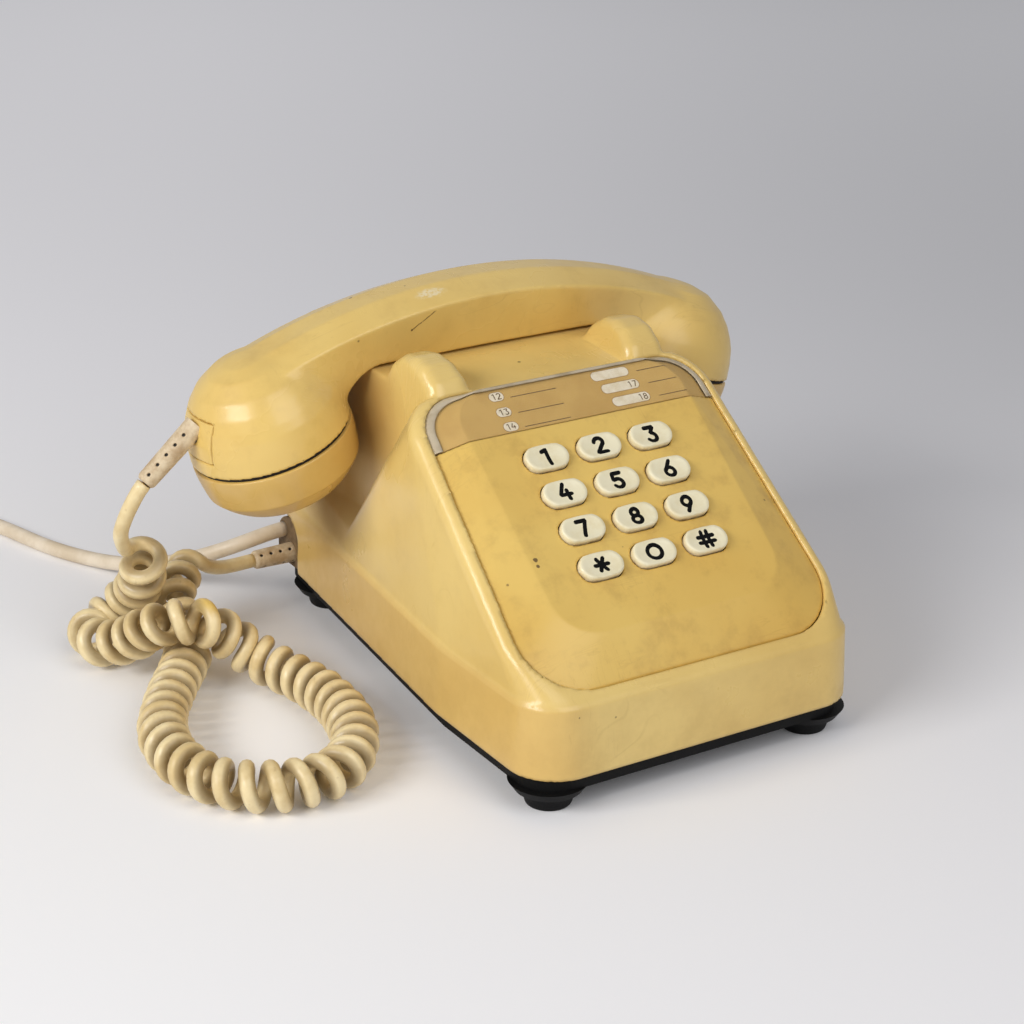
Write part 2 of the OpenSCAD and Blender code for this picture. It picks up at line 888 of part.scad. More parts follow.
// A screwed cap: a shallow cup with a bevelled rim, a ring of thread and the sound holes.
module cap(side, rings) {
    at_cup(side)
        difference() {
            rotate_extrude($fn = 64)
                polygon([[0, -cap_depth + 1], [cup_r - 15, -cap_depth + 0.6],
                         [cup_r - 11, -cap_depth], [cup_r - 8, -cap_depth + 0.8],
                         [cup_r - 4.4, -cap_depth + 3.8], [cup_r - 1, -cap_depth + 8.3],
                         [cup_r, -5], [cup_r, -seam / 2], [cup_r - 4.3, -seam / 2],
                         [cup_r - 4.3, 4], [cup_r - 6, 4], [cup_r - 6, -cap_depth + 5],
                         [cup_r - 8, -cap_depth + 3], [0, -cap_depth + 3]]);
            for (k = [1:rings], a = [0:60 / k:359])
                rotate([0, 0, a])
                    translate([k * 4.5, 0, -cap_depth - 1])
                        cylinder(r = 1, h = 6, $fn = 16);
            translate([0, 0, -cap_depth - 1])
                cylinder(r = 1, h = 6, $fn = 16);
        }
}

module mouth_cap() {
    color([0.82, 0.68, 0.38])
    cap(-1, 1);
}

module ear_cap() {
    color([0.82, 0.68, 0.38])
    cap(1, 2);
}

// A capsule stands in its cup on the cap's inner step.
module capsule(side, h) {
    at_cup(side)
        translate([0, 0, -cap_depth + 3 + fit])
            rotate_extrude($fn = 64)
                polygon([[0, 0], [cup_r - 8.5, 0], [cup_r - 6 - fit, 2], [cup_r - 6 - fit, h - 4],
                         [cup_r - 10, h], [0, h]]);
}

module microphone() {
    color([0.3, 0.3, 0.32])
    capsule(-1, 17);
}

module earphone() {
    color([0.4, 0.4, 0.42])
    capsule(1, 20);
}

// Unit vector along v.
function unit(v) = v / norm(v);

// Points of a smooth curve through p: k steps between neighbours.
function curve(p, k) = [
    for (i = [0:len(p) - 2], j = [0:k - 1])
        let (a = p[max(i - 1, 0)], b = p[i], c = p[i + 1], e = p[min(i + 2, len(p) - 1)], t = j / k)
            b + t * (c - a) / 2 + t * t * (a - 2.5 * b + 2 * c - 0.5 * e)
            + t * t * t * (1.5 * b - 0.5 * a - 1.5 * c + 0.5 * e),
    p[len(p) - 1]
];

// A route moved with the back of the body. Routes are written for the usual length, 196.
function placed(route) = [for (p = route) p + [0, body_l / 2 - 98, 0]];

// Direction of a list of points at each of them.
function along(p) = [
    for (i = [0:len(p) - 1])
        unit(p[min(i + 1, len(p) - 1)] - p[max(i - 1, 0)])
];

// Carries a normal along the directions t without twisting it.
function carried(t) = [
    for (i = 0, n = unit(cross(t[0], [0.2, 1, 0.3])); i < len(t);
         n = i + 1 < len(t) ? unit(n - (n * t[i + 1]) * t[i + 1]) : n, i = i + 1)
        n
];

// A round tube of radius r swept through the points p.
module swept(p, r, sides) {
    t = along(p);
    n = carried(t);
    rings = [
        for (i = [0:len(p) - 1], j = [0:sides - 1])
            let (a = 360 * j / sides)
                p[i] + r * (cos(a) * n[i] + sin(a) * cross(t[i], n[i]))
    ];
    m = len(p);
    polyhedron(
        points = rings,
        faces = concat(
            [[for (j = [0:sides - 1]) j]],
            [[for (j = [sides - 1:-1:0]) (m - 1) * sides + j]],
            [for (i = [0:m - 2], j = [0:sides - 1])
                let (k = (j + 1) % sides)
                    [i * sides + j, (i + 1) * sides + j, (i + 1) * sides + k, i * sides + k]]
        )
    );
}

// A ribbed sleeve along +Z that narrows to the cord, with two rows of round pits.
module sleeve() {
    difference() {
        rotate_extrude()
            polygon([[0, 0], [sleeve_d / 2, 0], [sleeve_d / 2 - 0.4, sleeve_l - 1],
                     [sleeve_d / 2 - 1, sleeve_l], [0, sleeve_l]]);
        for (k = [1:4], a = [35, 145, 215, 325])
            rotate([0, 0, a])
                translate([sleeve_d / 2 - 0.8, 0, k * sleeve_l / 5])
                    rotate([0, 90, 0])
                        cylinder(r = 0.7, h = 4, $fn = 16);
    }
}

// Where the sleeves end, and the routes of the cords between them.
sleeve_tip = [-120, handset_y, 74];
sleeve_dip = 41;
handset_route = [[-120.3, 43, 73.7], [-122.6, 43.6, 70.4], [-125.5, 46, 63], [-126, 50.5, 55],
                 [-123, 56, 48], [-119, 60, 43.2]];
coil_route = [[-114, 61, 43], [-113, 64, 36], [-111.5, 69.5, 29], [-111, 78, 22.5],
              [-114, 86, 15.5], [-122, 88.5, 10], [-129.5, 83, 8.4], [-130, 73.5, 8.4],
              [-125.5, 65, 11], [-121.5, 56, 15.5], [-119, 47, 21.5], [-114.5, 38.5, 26],
              [-106, 34, 25.5], [-98.5, 34, 19.5], [-91.5, 32, 13], [-86, 24, 9.2],
              [-82, 11, 8.4], [-80.5, -4, 8.4], [-82.5, -21, 8.4], [-89, -37, 8.4],
              [-100, -48, 8.4], [-113, -50.5, 8.4], [-126, -46, 8.4], [-136, -35, 8.4],
              [-139.5, -19, 8.4], [-137, -2, 8.4], [-130, 13, 8.4], [-121, 26.5, 8.4],
              [-112, 38.5, 8.4], [-104.5, 50, 8.4], [-99.5, 61, 9], [-96.5, 72, 12],
              [-91.5, 80.5, 16.5], [-83, 85, 20]];
base_route = [[-83, 85, 20], [-76, 86.5, 19.6], [-69, 87, 18.6], [-62, 87, 18]];
line_route = [[-38, 92.5, 25], [-50, 92.5, 25], [-62, 93.5, 22.5], [-71.5, 100, 18], [-79, 111, 12.5],
              [-86, 124, 8], [-92.5, 138, 4.5], [-99.5, 154, 2.8], [-106, 168, 2.8],
              [-110.5, 183, 2.8], [-115, 198, 2.8], [-127, 228, 2.8], [-148, 258, 2.8],
              [-174, 284, 2.8]];
coil_at = [-190, body_l / 2 + 220];
turn_r = 30;

module handset_sleeve() {
    color([0.68, 0.6, 0.48])
    sleeve_axis()
        sleeve();
}

module base_sleeve() {
    color([0.68, 0.6, 0.48])
    base_sleeve_axis()
        sleeve();
}

module handset_lead() {
    color([0.8, 0.7, 0.5])
    swept(curve(placed(handset_route), 2), lead_d / 2, 8);
}

module curly_coil() {
    color([0.8, 0.7, 0.5])
    swept(curve(placed(coil_route), 2), curl_d / 2, 10);
}

module base_lead() {
    color([0.8, 0.7, 0.5])
    swept(curve(placed(base_route), 2), lead_d / 2, 8);
}

module line_cord() {
    color([0.78, 0.72, 0.64])
    swept(curve(placed(line_route), 2), line_d / 2, 8);
}

module line_cord_coil() {
    color([0.78, 0.72, 0.64])
    translate([coil_at[0], coil_at[1], 0.1])
        rotate_extrude()
            translate([turn_r - 1.5 * line_d, 0])
                square([3 * line_d, 3 * line_d]);
}

module line_plug() {
    color([0.85, 0.83, 0.76])
    translate([coil_at[0] - 20, coil_at[1] + turn_r + 1.5 * line_d - 0.1, 0.1])
        cube([40, 24, 20]);
}

housing();
base_plate();
rubber_feet();
case_screws();
faceplate();
card_insert();
card_window();
keypad_frame();
keypad_board();
key_mat();
keypad_screws();
key(0);  // key_1
key(1);  // key_2
key(2);  // key_3
key(3);  // key_4
key(4);  // key_5
key(5);  // key_6
key(6);  // key_7
key(7);  // key_8
key(8);  // key_9
key(9);  // key_star
key(10);  // key_0
key(11);  // key_hash
main_board();
speech_transformer();
capacitors();
terminal_block();
ringer_base();
ringer_coils();
gong(-1);  // gong_left
gong(1);  // gong_right
gong_screws();
clapper();
clapper_pin();
hook_bracket();
hook_plungers();
hook_spring();
hook_switch();
cord_grommet();
handset_shell();
mouth_cap();
ear_cap();
microphone();
earphone();
cord_block();
handset_sleeve();
base_sleeve();
handset_lead();
curly_coil();
base_lead();
line_cord();
line_cord_coil();
line_plug();
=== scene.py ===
import math

import bmesh
import bpy
import numpy as np
from mathutils import Matrix, Vector


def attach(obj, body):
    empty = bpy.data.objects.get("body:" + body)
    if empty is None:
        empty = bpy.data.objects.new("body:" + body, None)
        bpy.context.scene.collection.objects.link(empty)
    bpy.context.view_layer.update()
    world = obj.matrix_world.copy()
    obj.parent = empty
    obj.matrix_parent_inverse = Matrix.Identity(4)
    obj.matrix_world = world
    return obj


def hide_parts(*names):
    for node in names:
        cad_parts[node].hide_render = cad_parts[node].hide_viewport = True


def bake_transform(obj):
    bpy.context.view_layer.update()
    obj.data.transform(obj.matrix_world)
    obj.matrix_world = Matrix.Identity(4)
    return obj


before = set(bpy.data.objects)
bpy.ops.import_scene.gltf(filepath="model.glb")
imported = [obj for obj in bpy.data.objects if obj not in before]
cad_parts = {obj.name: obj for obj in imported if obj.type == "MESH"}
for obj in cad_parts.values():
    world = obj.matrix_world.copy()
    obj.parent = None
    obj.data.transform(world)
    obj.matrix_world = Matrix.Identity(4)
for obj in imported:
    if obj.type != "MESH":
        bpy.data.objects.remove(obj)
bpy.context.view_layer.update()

# ---- The table, the light and the camera -------------------------------------------------
# A pale table under a soft oblong lamp, low on the left, with a broad one in front and a dim
# grey room round it. Nothing here belongs to the telephone.


class Wire:
    """One output socket in a material. Arithmetic on it adds Math nodes; add() puts in any other node."""

    def __init__(self, socket):
        self.socket = socket

    def add(self, kind, settings=None, inputs=None, output=0):
        """A node of this kind: its settings first, then the values or links of its sockets."""
        node = self.socket.id_data.nodes.new(kind)
        for name, value in (settings or {}).items():
            setattr(node, name, value)
        for name, value in (inputs or {}).items():
            if isinstance(value, Wire):
                self.socket.id_data.links.new(value.socket, node.inputs[name])
            else:
                node.inputs[name].default_value = value
        return Wire(node.outputs[output])

    def maths(self, operation, first, second=0.0):
        """A Math node with this operation on one or two values."""
        return self.add("ShaderNodeMath", {"operation": operation}, {0: first, 1: second})

    def __add__(self, other):
        return self.maths("ADD", self, other)

    def __sub__(self, other):
        return self.maths("SUBTRACT", self, other)

    def __rsub__(self, other):
        return self.maths("SUBTRACT", other, self)

    def __mul__(self, other):
        return self.maths("MULTIPLY", self, other)

    def __truediv__(self, other):
        return self.maths("DIVIDE", self, other)

    def __rtruediv__(self, other):
        return self.maths("DIVIDE", other, self)

    __radd__ = __add__
    __rmul__ = __mul__

    def size(self):
        """The value without its sign."""
        return self.maths("ABSOLUTE", self)

    def rise(self, low, high):
        """0 below low, 1 above high, and smooth in between; falls where low is above high."""
        settings = {"interpolation_type": "SMOOTHSTEP"}
        inputs = {"From Min": min(low, high), "From Max": max(low, high),
                  "To Min": float(low > high), "To Max": float(low <= high)}
        return self.add("ShaderNodeMapRange", settings, {"Value": self, **inputs})

    def part(self, axis):
        """One coordinate of a place: 0, 1 or 2."""
        return self.add("ShaderNodeSeparateXYZ", None, {"Vector": self}, axis)

    def along(self, x, y, z):
        """How far a place lies in a direction."""
        settings = {"operation": "DOT_PRODUCT"}
        return self.add("ShaderNodeVectorMath", settings, {0: self, 1: (x, y, z)}, 1)

    def far(self, x, y, z):
        """Distance of a place from a point."""
        return self.add("ShaderNodeVectorMath", {"operation": "DISTANCE"}, {0: self, 1: (x, y, z)}, 1)

    def turned(self, angles, stretch):
        """The place in turned axes, each stretched."""
        return self.add("ShaderNodeMapping", None, {"Vector": self, "Rotation": angles, "Scale": stretch})

    def clouds(self, per_metre, detail=3.0, rough=0.5, shift=(0, 0, 0)):
        """Noise from 0 to 1 with that many clouds to a metre."""
        place = self.add("ShaderNodeVectorMath", {"operation": "ADD"}, {0: self, 1: shift})
        inputs = {"Vector": place, "Scale": per_metre, "Detail": detail, "Roughness": rough}
        return self.add("ShaderNodeTexNoise", None, inputs)

    def cells(self, per_metre, output=0):
        """Distance to the nearest of the scattered points, or, with output 1, that point's own colour."""
        return self.add("ShaderNodeTexVoronoi", None, {"Vector": self, "Scale": per_metre}, output)

    def blend(self, under, over):
        """The colour under, with as much of the colour over it as this value says."""
        return self.add("ShaderNodeMix", {"data_type": "RGBA"}, {0: self, 6: under, 7: over}, 2)

    def bump(self, depth, strength):
        """A normal from this height, in depths of so many metres."""
        inputs = {"Height": self, "Distance": depth, "Strength": strength}
        return self.add("ShaderNodeBump", None, inputs)


def colour(red, green, blue):
    """A colour from its 0 to 255 steps on a screen, in the even steps that shaders use."""
    steps = np.array([red, green, blue]) / 255
    even = np.where(steps > 0.04045, ((steps + 0.055) / 1.055) ** 2.4, steps / 12.92)
    return (*(float(value) for value in even), 1.0)


def new_finish(name, **constants):
    """A new material, its shader with these constants on its own sockets, and the place on the piece."""
    material = bpy.data.materials.new(name)
    material.use_nodes = True
    shader = material.node_tree.nodes["Principled BSDF"]
    for socket, value in constants.items():
        shader.inputs[socket.replace("_", " ")].default_value = value
    place = material.node_tree.nodes.new("ShaderNodeTexCoord")
    return material, shader, Wire(place.outputs["Object"])


def feed(shader, **wires):
    """Links each wire to the shader's socket of that name."""
    for socket, wire in wires.items():
        shader.id_data.links.new(wire.socket, shader.inputs[socket.replace("_", " ")])


def piece_from(name, points, faces, material, smooth=True):
    """A new piece of the scene from an array of points, in millimetres, and a list or array of faces."""
    mesh = bpy.data.meshes.new(name)
    faces = faces.tolist() if isinstance(faces, np.ndarray) else faces
    mesh.from_pydata((np.asarray(points) * 0.001).tolist(), [], faces)
    mesh.polygons.foreach_set("use_smooth", np.full(len(mesh.polygons), smooth))
    mesh.materials.append(material)
    mesh.update()
    piece = bpy.data.objects.new(name, mesh)
    bpy.context.scene.collection.objects.link(piece)
    return piece


def seen_rays(nodes):
    """1 for what the camera sees itself, in a shiny thing or through a clear one, 0 for what only
    lights the scene."""
    ray = nodes.new("ShaderNodeLightPath").outputs
    seen = Wire(ray["Is Camera Ray"]) + Wire(ray["Is Glossy Ray"]) + Wire(ray["Is Transmission Ray"])
    return seen.rise(0.4, 0.6)


def table_finish():
    """White paper with painted light: painted darker at the back and on the right, where less light falls,
    and a painted glow, faint all over and brighter far back.
    """
    material, shader, place = new_finish("table_paper", Roughness=0.9, Specular_IOR_Level=0.1)
    away_x, away_y = 0.53, 0.848
    depth = place.along(away_x, away_y, 0)
    # Painted light: the paper's colour falls off towards the back and the right, as the lamps' light does.
    back = depth.rise(-0.10, 0.33)
    right = place.along(away_y, -away_x, 0).rise(-0.35, 0.35)
    near = right.blend(colour(251, 251, 252), colour(242, 241, 244))
    away = right.blend(colour(236, 235, 238), colour(204, 204, 207))
    feed(shader, Base_Color=back.blend(near, away))
    dim = right.blend(colour(98, 98, 100), colour(68, 68, 70))
    bright = right.blend(colour(128, 128, 130), colour(116, 116, 118))
    glow = depth.rise(0.28, 1.15).blend(dim, bright)
    seen = seen_rays(material.node_tree.nodes)
    # Painted glow: the table gives off a little light everywhere, and more far back where it is seen.
    feed(shader, Emission_Color=(back * seen).blend(colour(40, 40, 40), glow))
    shader.inputs["Emission Strength"].default_value = 1.0
    return material


reach = 6000
corners = np.array([[-reach, -reach, 0], [reach, -reach, 0], [reach, reach, 0], [-reach, reach, 0]])
table = piece_from("table", corners, [[0, 1, 2, 3]], table_finish(), smooth=False)


def lamp(name, power, size, at, towards, tint):
    """An oblong soft lamp of that power in watts, so wide and so high, turned from its place
    towards another."""
    light = bpy.data.lights.new(name, "AREA")
    light.energy = power
    light.shape = "RECTANGLE"
    light.size, light.size_y = size
    light.color = tint
    holder = bpy.data.objects.new(name, light)
    bpy.context.scene.collection.objects.link(holder)
    holder.location = at
    holder.rotation_euler = (Vector(towards) - Vector(at)).to_track_quat("-Z", "Y").to_euler()


lamp("window_light", 14.6, (1.0, 0.4), (-1.28, -0.22, 0.84), (0, 0, 0.05), (1.0, 0.985, 0.96))
lamp("room_light", 11.0, (1.3, 1.3), (0.1, -1.35, 1.25), (0, 0, 0.05), (1.0, 1.0, 1.0))

world = bpy.data.worlds.new("room")
world.use_nodes = True
bpy.context.scene.world = world
shown = seen_rays(world.node_tree.nodes).blend((0.24, 0.24, 0.25, 1), (0.5, 0.5, 0.51, 1))
world.node_tree.links.new(shown.socket, world.node_tree.nodes["Background"].inputs["Color"])

eye = Vector((-0.41191, -0.64362, 0.36826))
aim = Vector((0.00477, 0.02305, 0.045))
roll = math.radians(0.55)
lens = bpy.data.cameras.new("camera")
lens.sensor_width = 36
lens.lens = 88.12
lens.clip_start = 0.01
camera = bpy.data.objects.new("camera", lens)
bpy.context.scene.collection.objects.link(camera)
ahead = (aim - eye).normalized()
across = ahead.cross(Vector((0, 0, 1))).normalized()
upward = across.cross(ahead)
level = across * math.cos(roll) + upward * math.sin(roll)
upward = level.cross(ahead)
turn = Matrix((level, upward, -ahead)).transposed()
camera.matrix_world = Matrix.Translation(eye) @ turn.to_4x4()
bpy.context.scene.camera = camera
bpy.context.scene.view_settings.view_transform = "Standard"

# ---- The curly cord ------------------------------------------------------------------------
# A round flexible lead, wound into a springy coil of about forty turns with a straight end on
# each side. Soft plastic, gone yellow-grey; each end goes into a rubber sleeve.
lead_d = 5.0
curl_r = 5.5
handset_route = [[-120.3, 43, 73.7], [-122.6, 43.6, 70.4], [-125.5, 46, 63], [-126, 50.5, 55],
                 [-123, 56, 48], [-119, 60, 43.2]]
coil_route = [[-114, 61, 43], [-113, 64, 36], [-111.8, 69, 29], [-111.2, 76, 22.2],
              [-114, 82.5, 15.5], [-120.5, 84.5, 10], [-126.5, 80, 8.4], [-127.5, 71.5, 8.6],
              [-124.8, 63, 11.2], [-121.5, 55, 15.5], [-119, 47, 21.5], [-114.5, 38.5, 26],
              [-106, 34, 25.5], [-98.5, 34, 19.5], [-91.5, 32, 13], [-86, 24, 9.2],
              [-82, 11, 8.4], [-80.5, -4, 8.4], [-82.5, -21, 8.4], [-89, -37, 8.4],
              [-100, -48, 8.4], [-113, -50.5, 8.4], [-126, -46, 8.4], [-136, -35, 8.4],
              [-139.5, -19, 8.4], [-137, -2, 8.4], [-130, 13, 8.4], [-121, 26.5, 8.4],
              [-112, 38.5, 8.4], [-105.5, 48.5, 8.4], [-103, 58, 11], [-101.5, 66, 16.2],
              [-98.3, 73, 20.3], [-93.2, 79, 22.2], [-87, 84.5, 22.3]]
base_route = [[-77, 87.2, 16.6], [-73, 87.4, 17.2], [-69, 87.2, 17.7], [-65.5, 87, 18], [-62, 87, 18]]


def smooth_route(knots, step):
    """Points each step along the smooth curve through the knots: each stretch is a cubic whose
    slope at a knot is half the way between its neighbours."""
    p = np.array(knots, float)
    p = np.vstack([2 * p[0] - p[1], p, 2 * p[-1] - p[-2]])
    t = np.linspace(0, 1, 40, endpoint=False)[None, :, None]
    a, b, c, d = p[:-3, None], p[1:-2, None], p[2:-1, None], p[3:, None]
    fine = (b + t * (c - a) / 2 + t ** 2 * (a - 2.5 * b + 2 * c - d / 2)
            + t ** 3 * (1.5 * (b - c) + (d - a) / 2))
    return evenly(np.vstack([fine.reshape(-1, 3), p[-2]]), step)


def run_of(path):
    """How far along a line each of its points lies."""
    return np.r_[0, np.linalg.norm(np.diff(path, axis=0), axis=1).cumsum()]


def evenly(path, step):
    """The same line with its points an even step apart."""
    gone = run_of(path)
    places = np.linspace(0, gone[-1], max(2, round(gone[-1] / step) + 1))
    return np.column_stack([np.interp(places, gone, values) for values in path.T])


def heading(path):
    """Unit direction of a line at each of its points."""
    way = np.gradient(path, axis=0)
    return way / np.linalg.norm(way, axis=1)[:, None]


def upright_frames(path, first):
    """Two directions square to a line at each point, carried along it without twist, from a first one."""
    way = heading(path)
    side = [np.cross(way[0], np.cross(first, way[0]))]
    for after in way[1:]:
        last = side[-1] - after * (side[-1] @ after)
        side.append(last / np.linalg.norm(last))
    side = np.array(side)
    side[0] /= np.linalg.norm(side[0])
    return side, np.cross(way, side)


def eased(path, rounds, keep):
    """The line with its kinks eased: each point moves to the middle of its neighbours, except as
    keep says."""
    path = path.copy()
    for _ in range(rounds):
        path[1:-1] += (1 - keep[1:-1, None]) * ((path[:-2] + path[2:]) / 2 - path[1:-1])
    return path


def mark(piece, name, values):
    """Gives a piece's points an attribute that its finish can read."""
    stored = piece.data.attributes.new(name, "FLOAT", "POINT")
    stored.data.foreach_set("value", values.astype(np.float32))


def ring_faces(rings, sides):
    """Squares between rings of points: each ring is joined to the next and closed on itself."""
    ring, turn = np.meshgrid(np.arange(rings - 1), np.arange(sides), indexing="ij")
    here, there = ring * sides + turn, ring * sides + (turn + 1) % sides
    return np.stack([here, there, there + sides, here + sides], -1).reshape(-1, 4)


def end_fans(rings, sides):
    """Triangles that close the first and the last ring on the two points that follow the rings."""
    here = np.arange(sides)
    there, last, tip = (here + 1) % sides, (rings - 1) * sides, np.full(sides, rings * sides)
    return (np.stack([there, here, tip], -1).tolist()
            + np.stack([last + here, last + there, tip + 1], -1).tolist())


def tube(name, path, radius, sides, material, beside=0.0):
    """A round tube along a line, closed at its ends: a ring of points, square to the line, at each
    of its points. Where its skin faces beside, a direction for each point, its groove attribute
    is 1, and its finish paints shade there."""
    side, other = upright_frames(path, np.array([0.3, 0.2, 1.0]))
    angle = np.linspace(0, 2 * np.pi, sides, endpoint=False)
    spread = np.cos(angle)[None, :, None] * side[:, None] + np.sin(angle)[None, :, None] * other[:, None]
    rings = path[:, None] + radius * spread
    points = np.vstack([rings.reshape(-1, 3), path[0], path[-1]])
    faces = ring_faces(len(path), sides).tolist() + end_fans(len(path), sides)
    piece = piece_from(name, points, faces, material)
    gap_shade = np.abs((spread * np.broadcast_to(beside, path.shape)[:, None]).sum(-1))
    mark(piece, "gap_shade", np.r_[gap_shade.ravel(), 0, 0])
    return piece


def wound(axis, leaves):
    """The lead's own line where it is wound: a circle that travels along the coil's axis. The turns
    are closer together in the middle and open out at the two ends and where the coil bends. The
    last one ends where it runs in the direction in which the lead leaves."""
    gone = run_of(axis)
    left = gone[-1] - gone
    pitch = 7.6 + 1.6 * np.exp(-gone / 18) + 1.4 * np.exp(-left / 16) + 2.2 * np.exp(-((gone - 62) / 16) ** 2)
    pitch += 0.6 * np.exp(-((gone - 118) / 22) ** 2)
    phase = 2 * np.pi * np.r_[0, np.cumsum(np.diff(gone) * 2 / (pitch[1:] + pitch[:-1]))]
    side, other = upright_frames(axis, np.array([-1.0, -0.2, 0.0]))
    leave = np.arctan2(-side[-1] @ leaves, other[-1] @ leaves)
    phase *= (leave + 2 * np.pi * round((phase[-1] - leave) / (2 * np.pi))) / phase[-1]
    loose = 1 + 0.035 * np.sin(gone / 9.0) + 0.02 * np.sin(gone / 4.3 + 1)
    radius = curl_r * loose * (1 - 0.2 * np.exp(-left / 10))
    return axis + radius[:, None] * (np.cos(phase)[:, None] * side + np.sin(phase)[:, None] * other)


def cord_finish(name, pale, deep, roughness):
    """Soft cord plastic: clouds of wear, small dark spots, one yellow stain on the coil, and painted
    shade in the grooves between turns."""
    material, shader, place = new_finish(name, Roughness=roughness, Specular_IOR_Level=0.45)
    worn = place.clouds(60, 4, 0.6).rise(0.38, 0.68)
    spots = place.clouds(420, 2).rise(0.66, 0.78) * 0.25
    shade = spots.blend(worn.blend(pale, deep), colour(160, 128, 84))
    stain = (place.far(-0.1015, 0.034, 0.0330) / 0.0085).rise(1, 0.4) * 0.8
    shade = stain.blend(shade, colour(222, 186, 84))
    # Painted shade: skin that faces the next turn is darkened towards brown.
    gap_shade = place.add("ShaderNodeAttribute", {"attribute_name": "gap_shade"}, None, 2).rise(0.4, 0.95)
    feed(shader, Base_Color=(gap_shade * 0.56).blend(shade, colour(108, 80, 42)))
    feed(shader, Normal=place.clouds(700, 2).bump(0.0001, 0.3))
    feed(shader, Roughness=worn * 0.12 + (roughness - 0.05))
    return material


curly_finish = cord_finish("curly_plastic", colour(240, 221, 174), colour(214, 188, 134), 0.34)
axis = smooth_route([[-114.5, 60.8, 43.6]] + coil_route[1:], 0.25)
first, last = smooth_route(handset_route, 1.0)[:-3], smooth_route(base_route, 1.0)[2:]
lead_way = np.array([0.5, 0.1, -0.85])
turns = wound(axis, lead_way)
path = evenly(np.vstack([first, evenly(turns, 1.0), last]), 1.0)

# The coil's turns are eased into its two straight ends, and it lies just above the table.
count = np.arange(len(path))
keep = 1 - np.exp(-((count - len(first)) / 9.0) ** 2)
keep -= np.exp(-((count - len(path) + len(last)) / 9.0) ** 2)
path = evenly(eased(path, 40, np.clip(keep, 0, 1)), 1.5)
path[:, 2] = np.maximum(path[:, 2], lead_d / 2 + 0.2)

# Painted shade darkens the skin where one turn lies against the next: there it faces along the
# coil's own middle line, which is the lead's line averaged over one turn.
turn_points = 23
turn_mean = np.ones(turn_points) / turn_points
middle = np.column_stack([np.convolve(np.pad(values, turn_points // 2, "edge"), turn_mean, "valid")
                          for values in path.T])
off_middle = np.linalg.norm(path - middle, axis=1)[:, None]
beside = heading(middle) * np.clip(off_middle / 3 - 0.4, 0, 1)
curly = tube("curly_cord", path, lead_d / 2, 12, curly_finish, beside)
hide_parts("handset_lead", "curly_coil", "base_lead")
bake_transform(curly)
metres = path * 0.001
float(run_of(metres)[-1])

# ---- The line cord ------------------------------------------------------------------------
# A smooth round cord from the grommet at the back to the wall plug, with what isn't needed
# wound into a neat flat coil. Soft grey-cream plastic.
line_d, line_low = 5.4, 2.8
line_route = [[-46, 92.5, 25], [-50, 92.5, 25], [-62, 93.5, 22.5], [-71.5, 100, 18], [-79, 111, 12.5],
              [-86, 124, 8], [-92.5, 138, 4.5], [-99.5, 154, 2.8], [-106, 168, 2.8], [-110.5, 183, 2.8],
              [-115, 198, 2.8], [-127, 228, 2.8], [-148, 258, 2.8], [-174, 284, 2.8]]
coil_at = np.array([-190.0, 318.0])
turn_r = 30.0
over_route = [[-166, 304.5, 17.5], [-158, 317, 19], [-154.5, 332, 17], [-155.5, 346, 13.5],
              [-160.5, 358.5, 11.2], [-168, 366.5, 10.3], [-176, 368, 10.1]]


def wound_flat():
    """Nine turns in three layers of three: the radius steps by a cord's width at the end of each
    turn, in and out by turns, and the height at the end of each layer."""
    turns = np.linspace(0, 9, 9 * 40, endpoint=False)
    whole = np.floor(turns)
    step = np.clip((turns - whole - 0.75) / 0.25, 0, 1)
    step = step * step * (3 - 2 * step)
    across = np.array([1, 0, -1, -1, 0, 1, 1, 0, -1, -1])
    layer = np.array([0, 0, 0, 1, 1, 1, 2, 2, 2, 2])
    index = whole.astype(int)
    radius = turn_r + line_d * (across[index] + step * (across[index + 1] - across[index]))
    height = line_low + line_d * (layer[index] + step * (layer[index + 1] - layer[index]))
    angle = np.radians(-65) + 2 * np.pi * turns
    return np.column_stack([coil_at[0] + radius * np.cos(angle), coil_at[1] + radius * np.sin(angle), height])


line_finish = cord_finish("line_plastic", colour(234, 220, 198), colour(214, 196, 168), 0.42)
coil = wound_flat()
run_in = smooth_route(line_route[:-1] + [[-172.5, 285.2, line_low]], 3)[:-2]
run_out = smooth_route([coil[-1]] + over_route, 3)[1:]
path = np.vstack([run_in, coil, run_out])
path = evenly(eased(path, 3, np.zeros(len(path))), 3)
line = tube("line_cord_lead", path, line_d / 2, 14, line_finish)
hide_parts("line_cord", "line_cord_coil")
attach(line, "base")


def sheet_faces(rows, columns):
    """Squares between the rows of a sheet of points."""
    i, j = np.meshgrid(np.arange(rows - 1), np.arange(columns - 1), indexing="ij")
    here, there = i * columns + j, (i + 1) * columns + j
    return np.stack([here, there, there + 1, here + 1], -1).reshape(-1, 4)


def block(size, at, round_r, steps=5):
    """A box with rounded edges: a divided cube, its points drawn towards its edges, is cut back by
    the rounding's radius, and each point is put out again by that radius along the way from the
    smaller box to where it was."""
    half = np.array(size) / 2
    ticks = np.linspace(-1, 1, 2 * steps + 1)
    u, v = np.meshgrid(ticks, ticks, indexing="ij")
    one = np.ones_like(u)
    sheets = [(one, u, v), (-one, v, u), (v, one, u), (u, -one, v), (u, v, one), (v, u, -one)]
    cube = np.vstack([np.stack(s, -1).reshape(-1, 3) for s in sheets])
    bend = np.sign(cube) * np.abs(cube) ** 0.35 * half
    core = np.clip(bend, -(half - round_r), half - round_r)
    out = bend - core
    out /= np.maximum(np.linalg.norm(out, axis=1)[:, None], 1e-9)
    n = 2 * steps + 1
    faces = np.vstack([sheet_faces(n, n) + k * n * n for k in range(6)])
    return core + round_r * out + np.array(at), faces


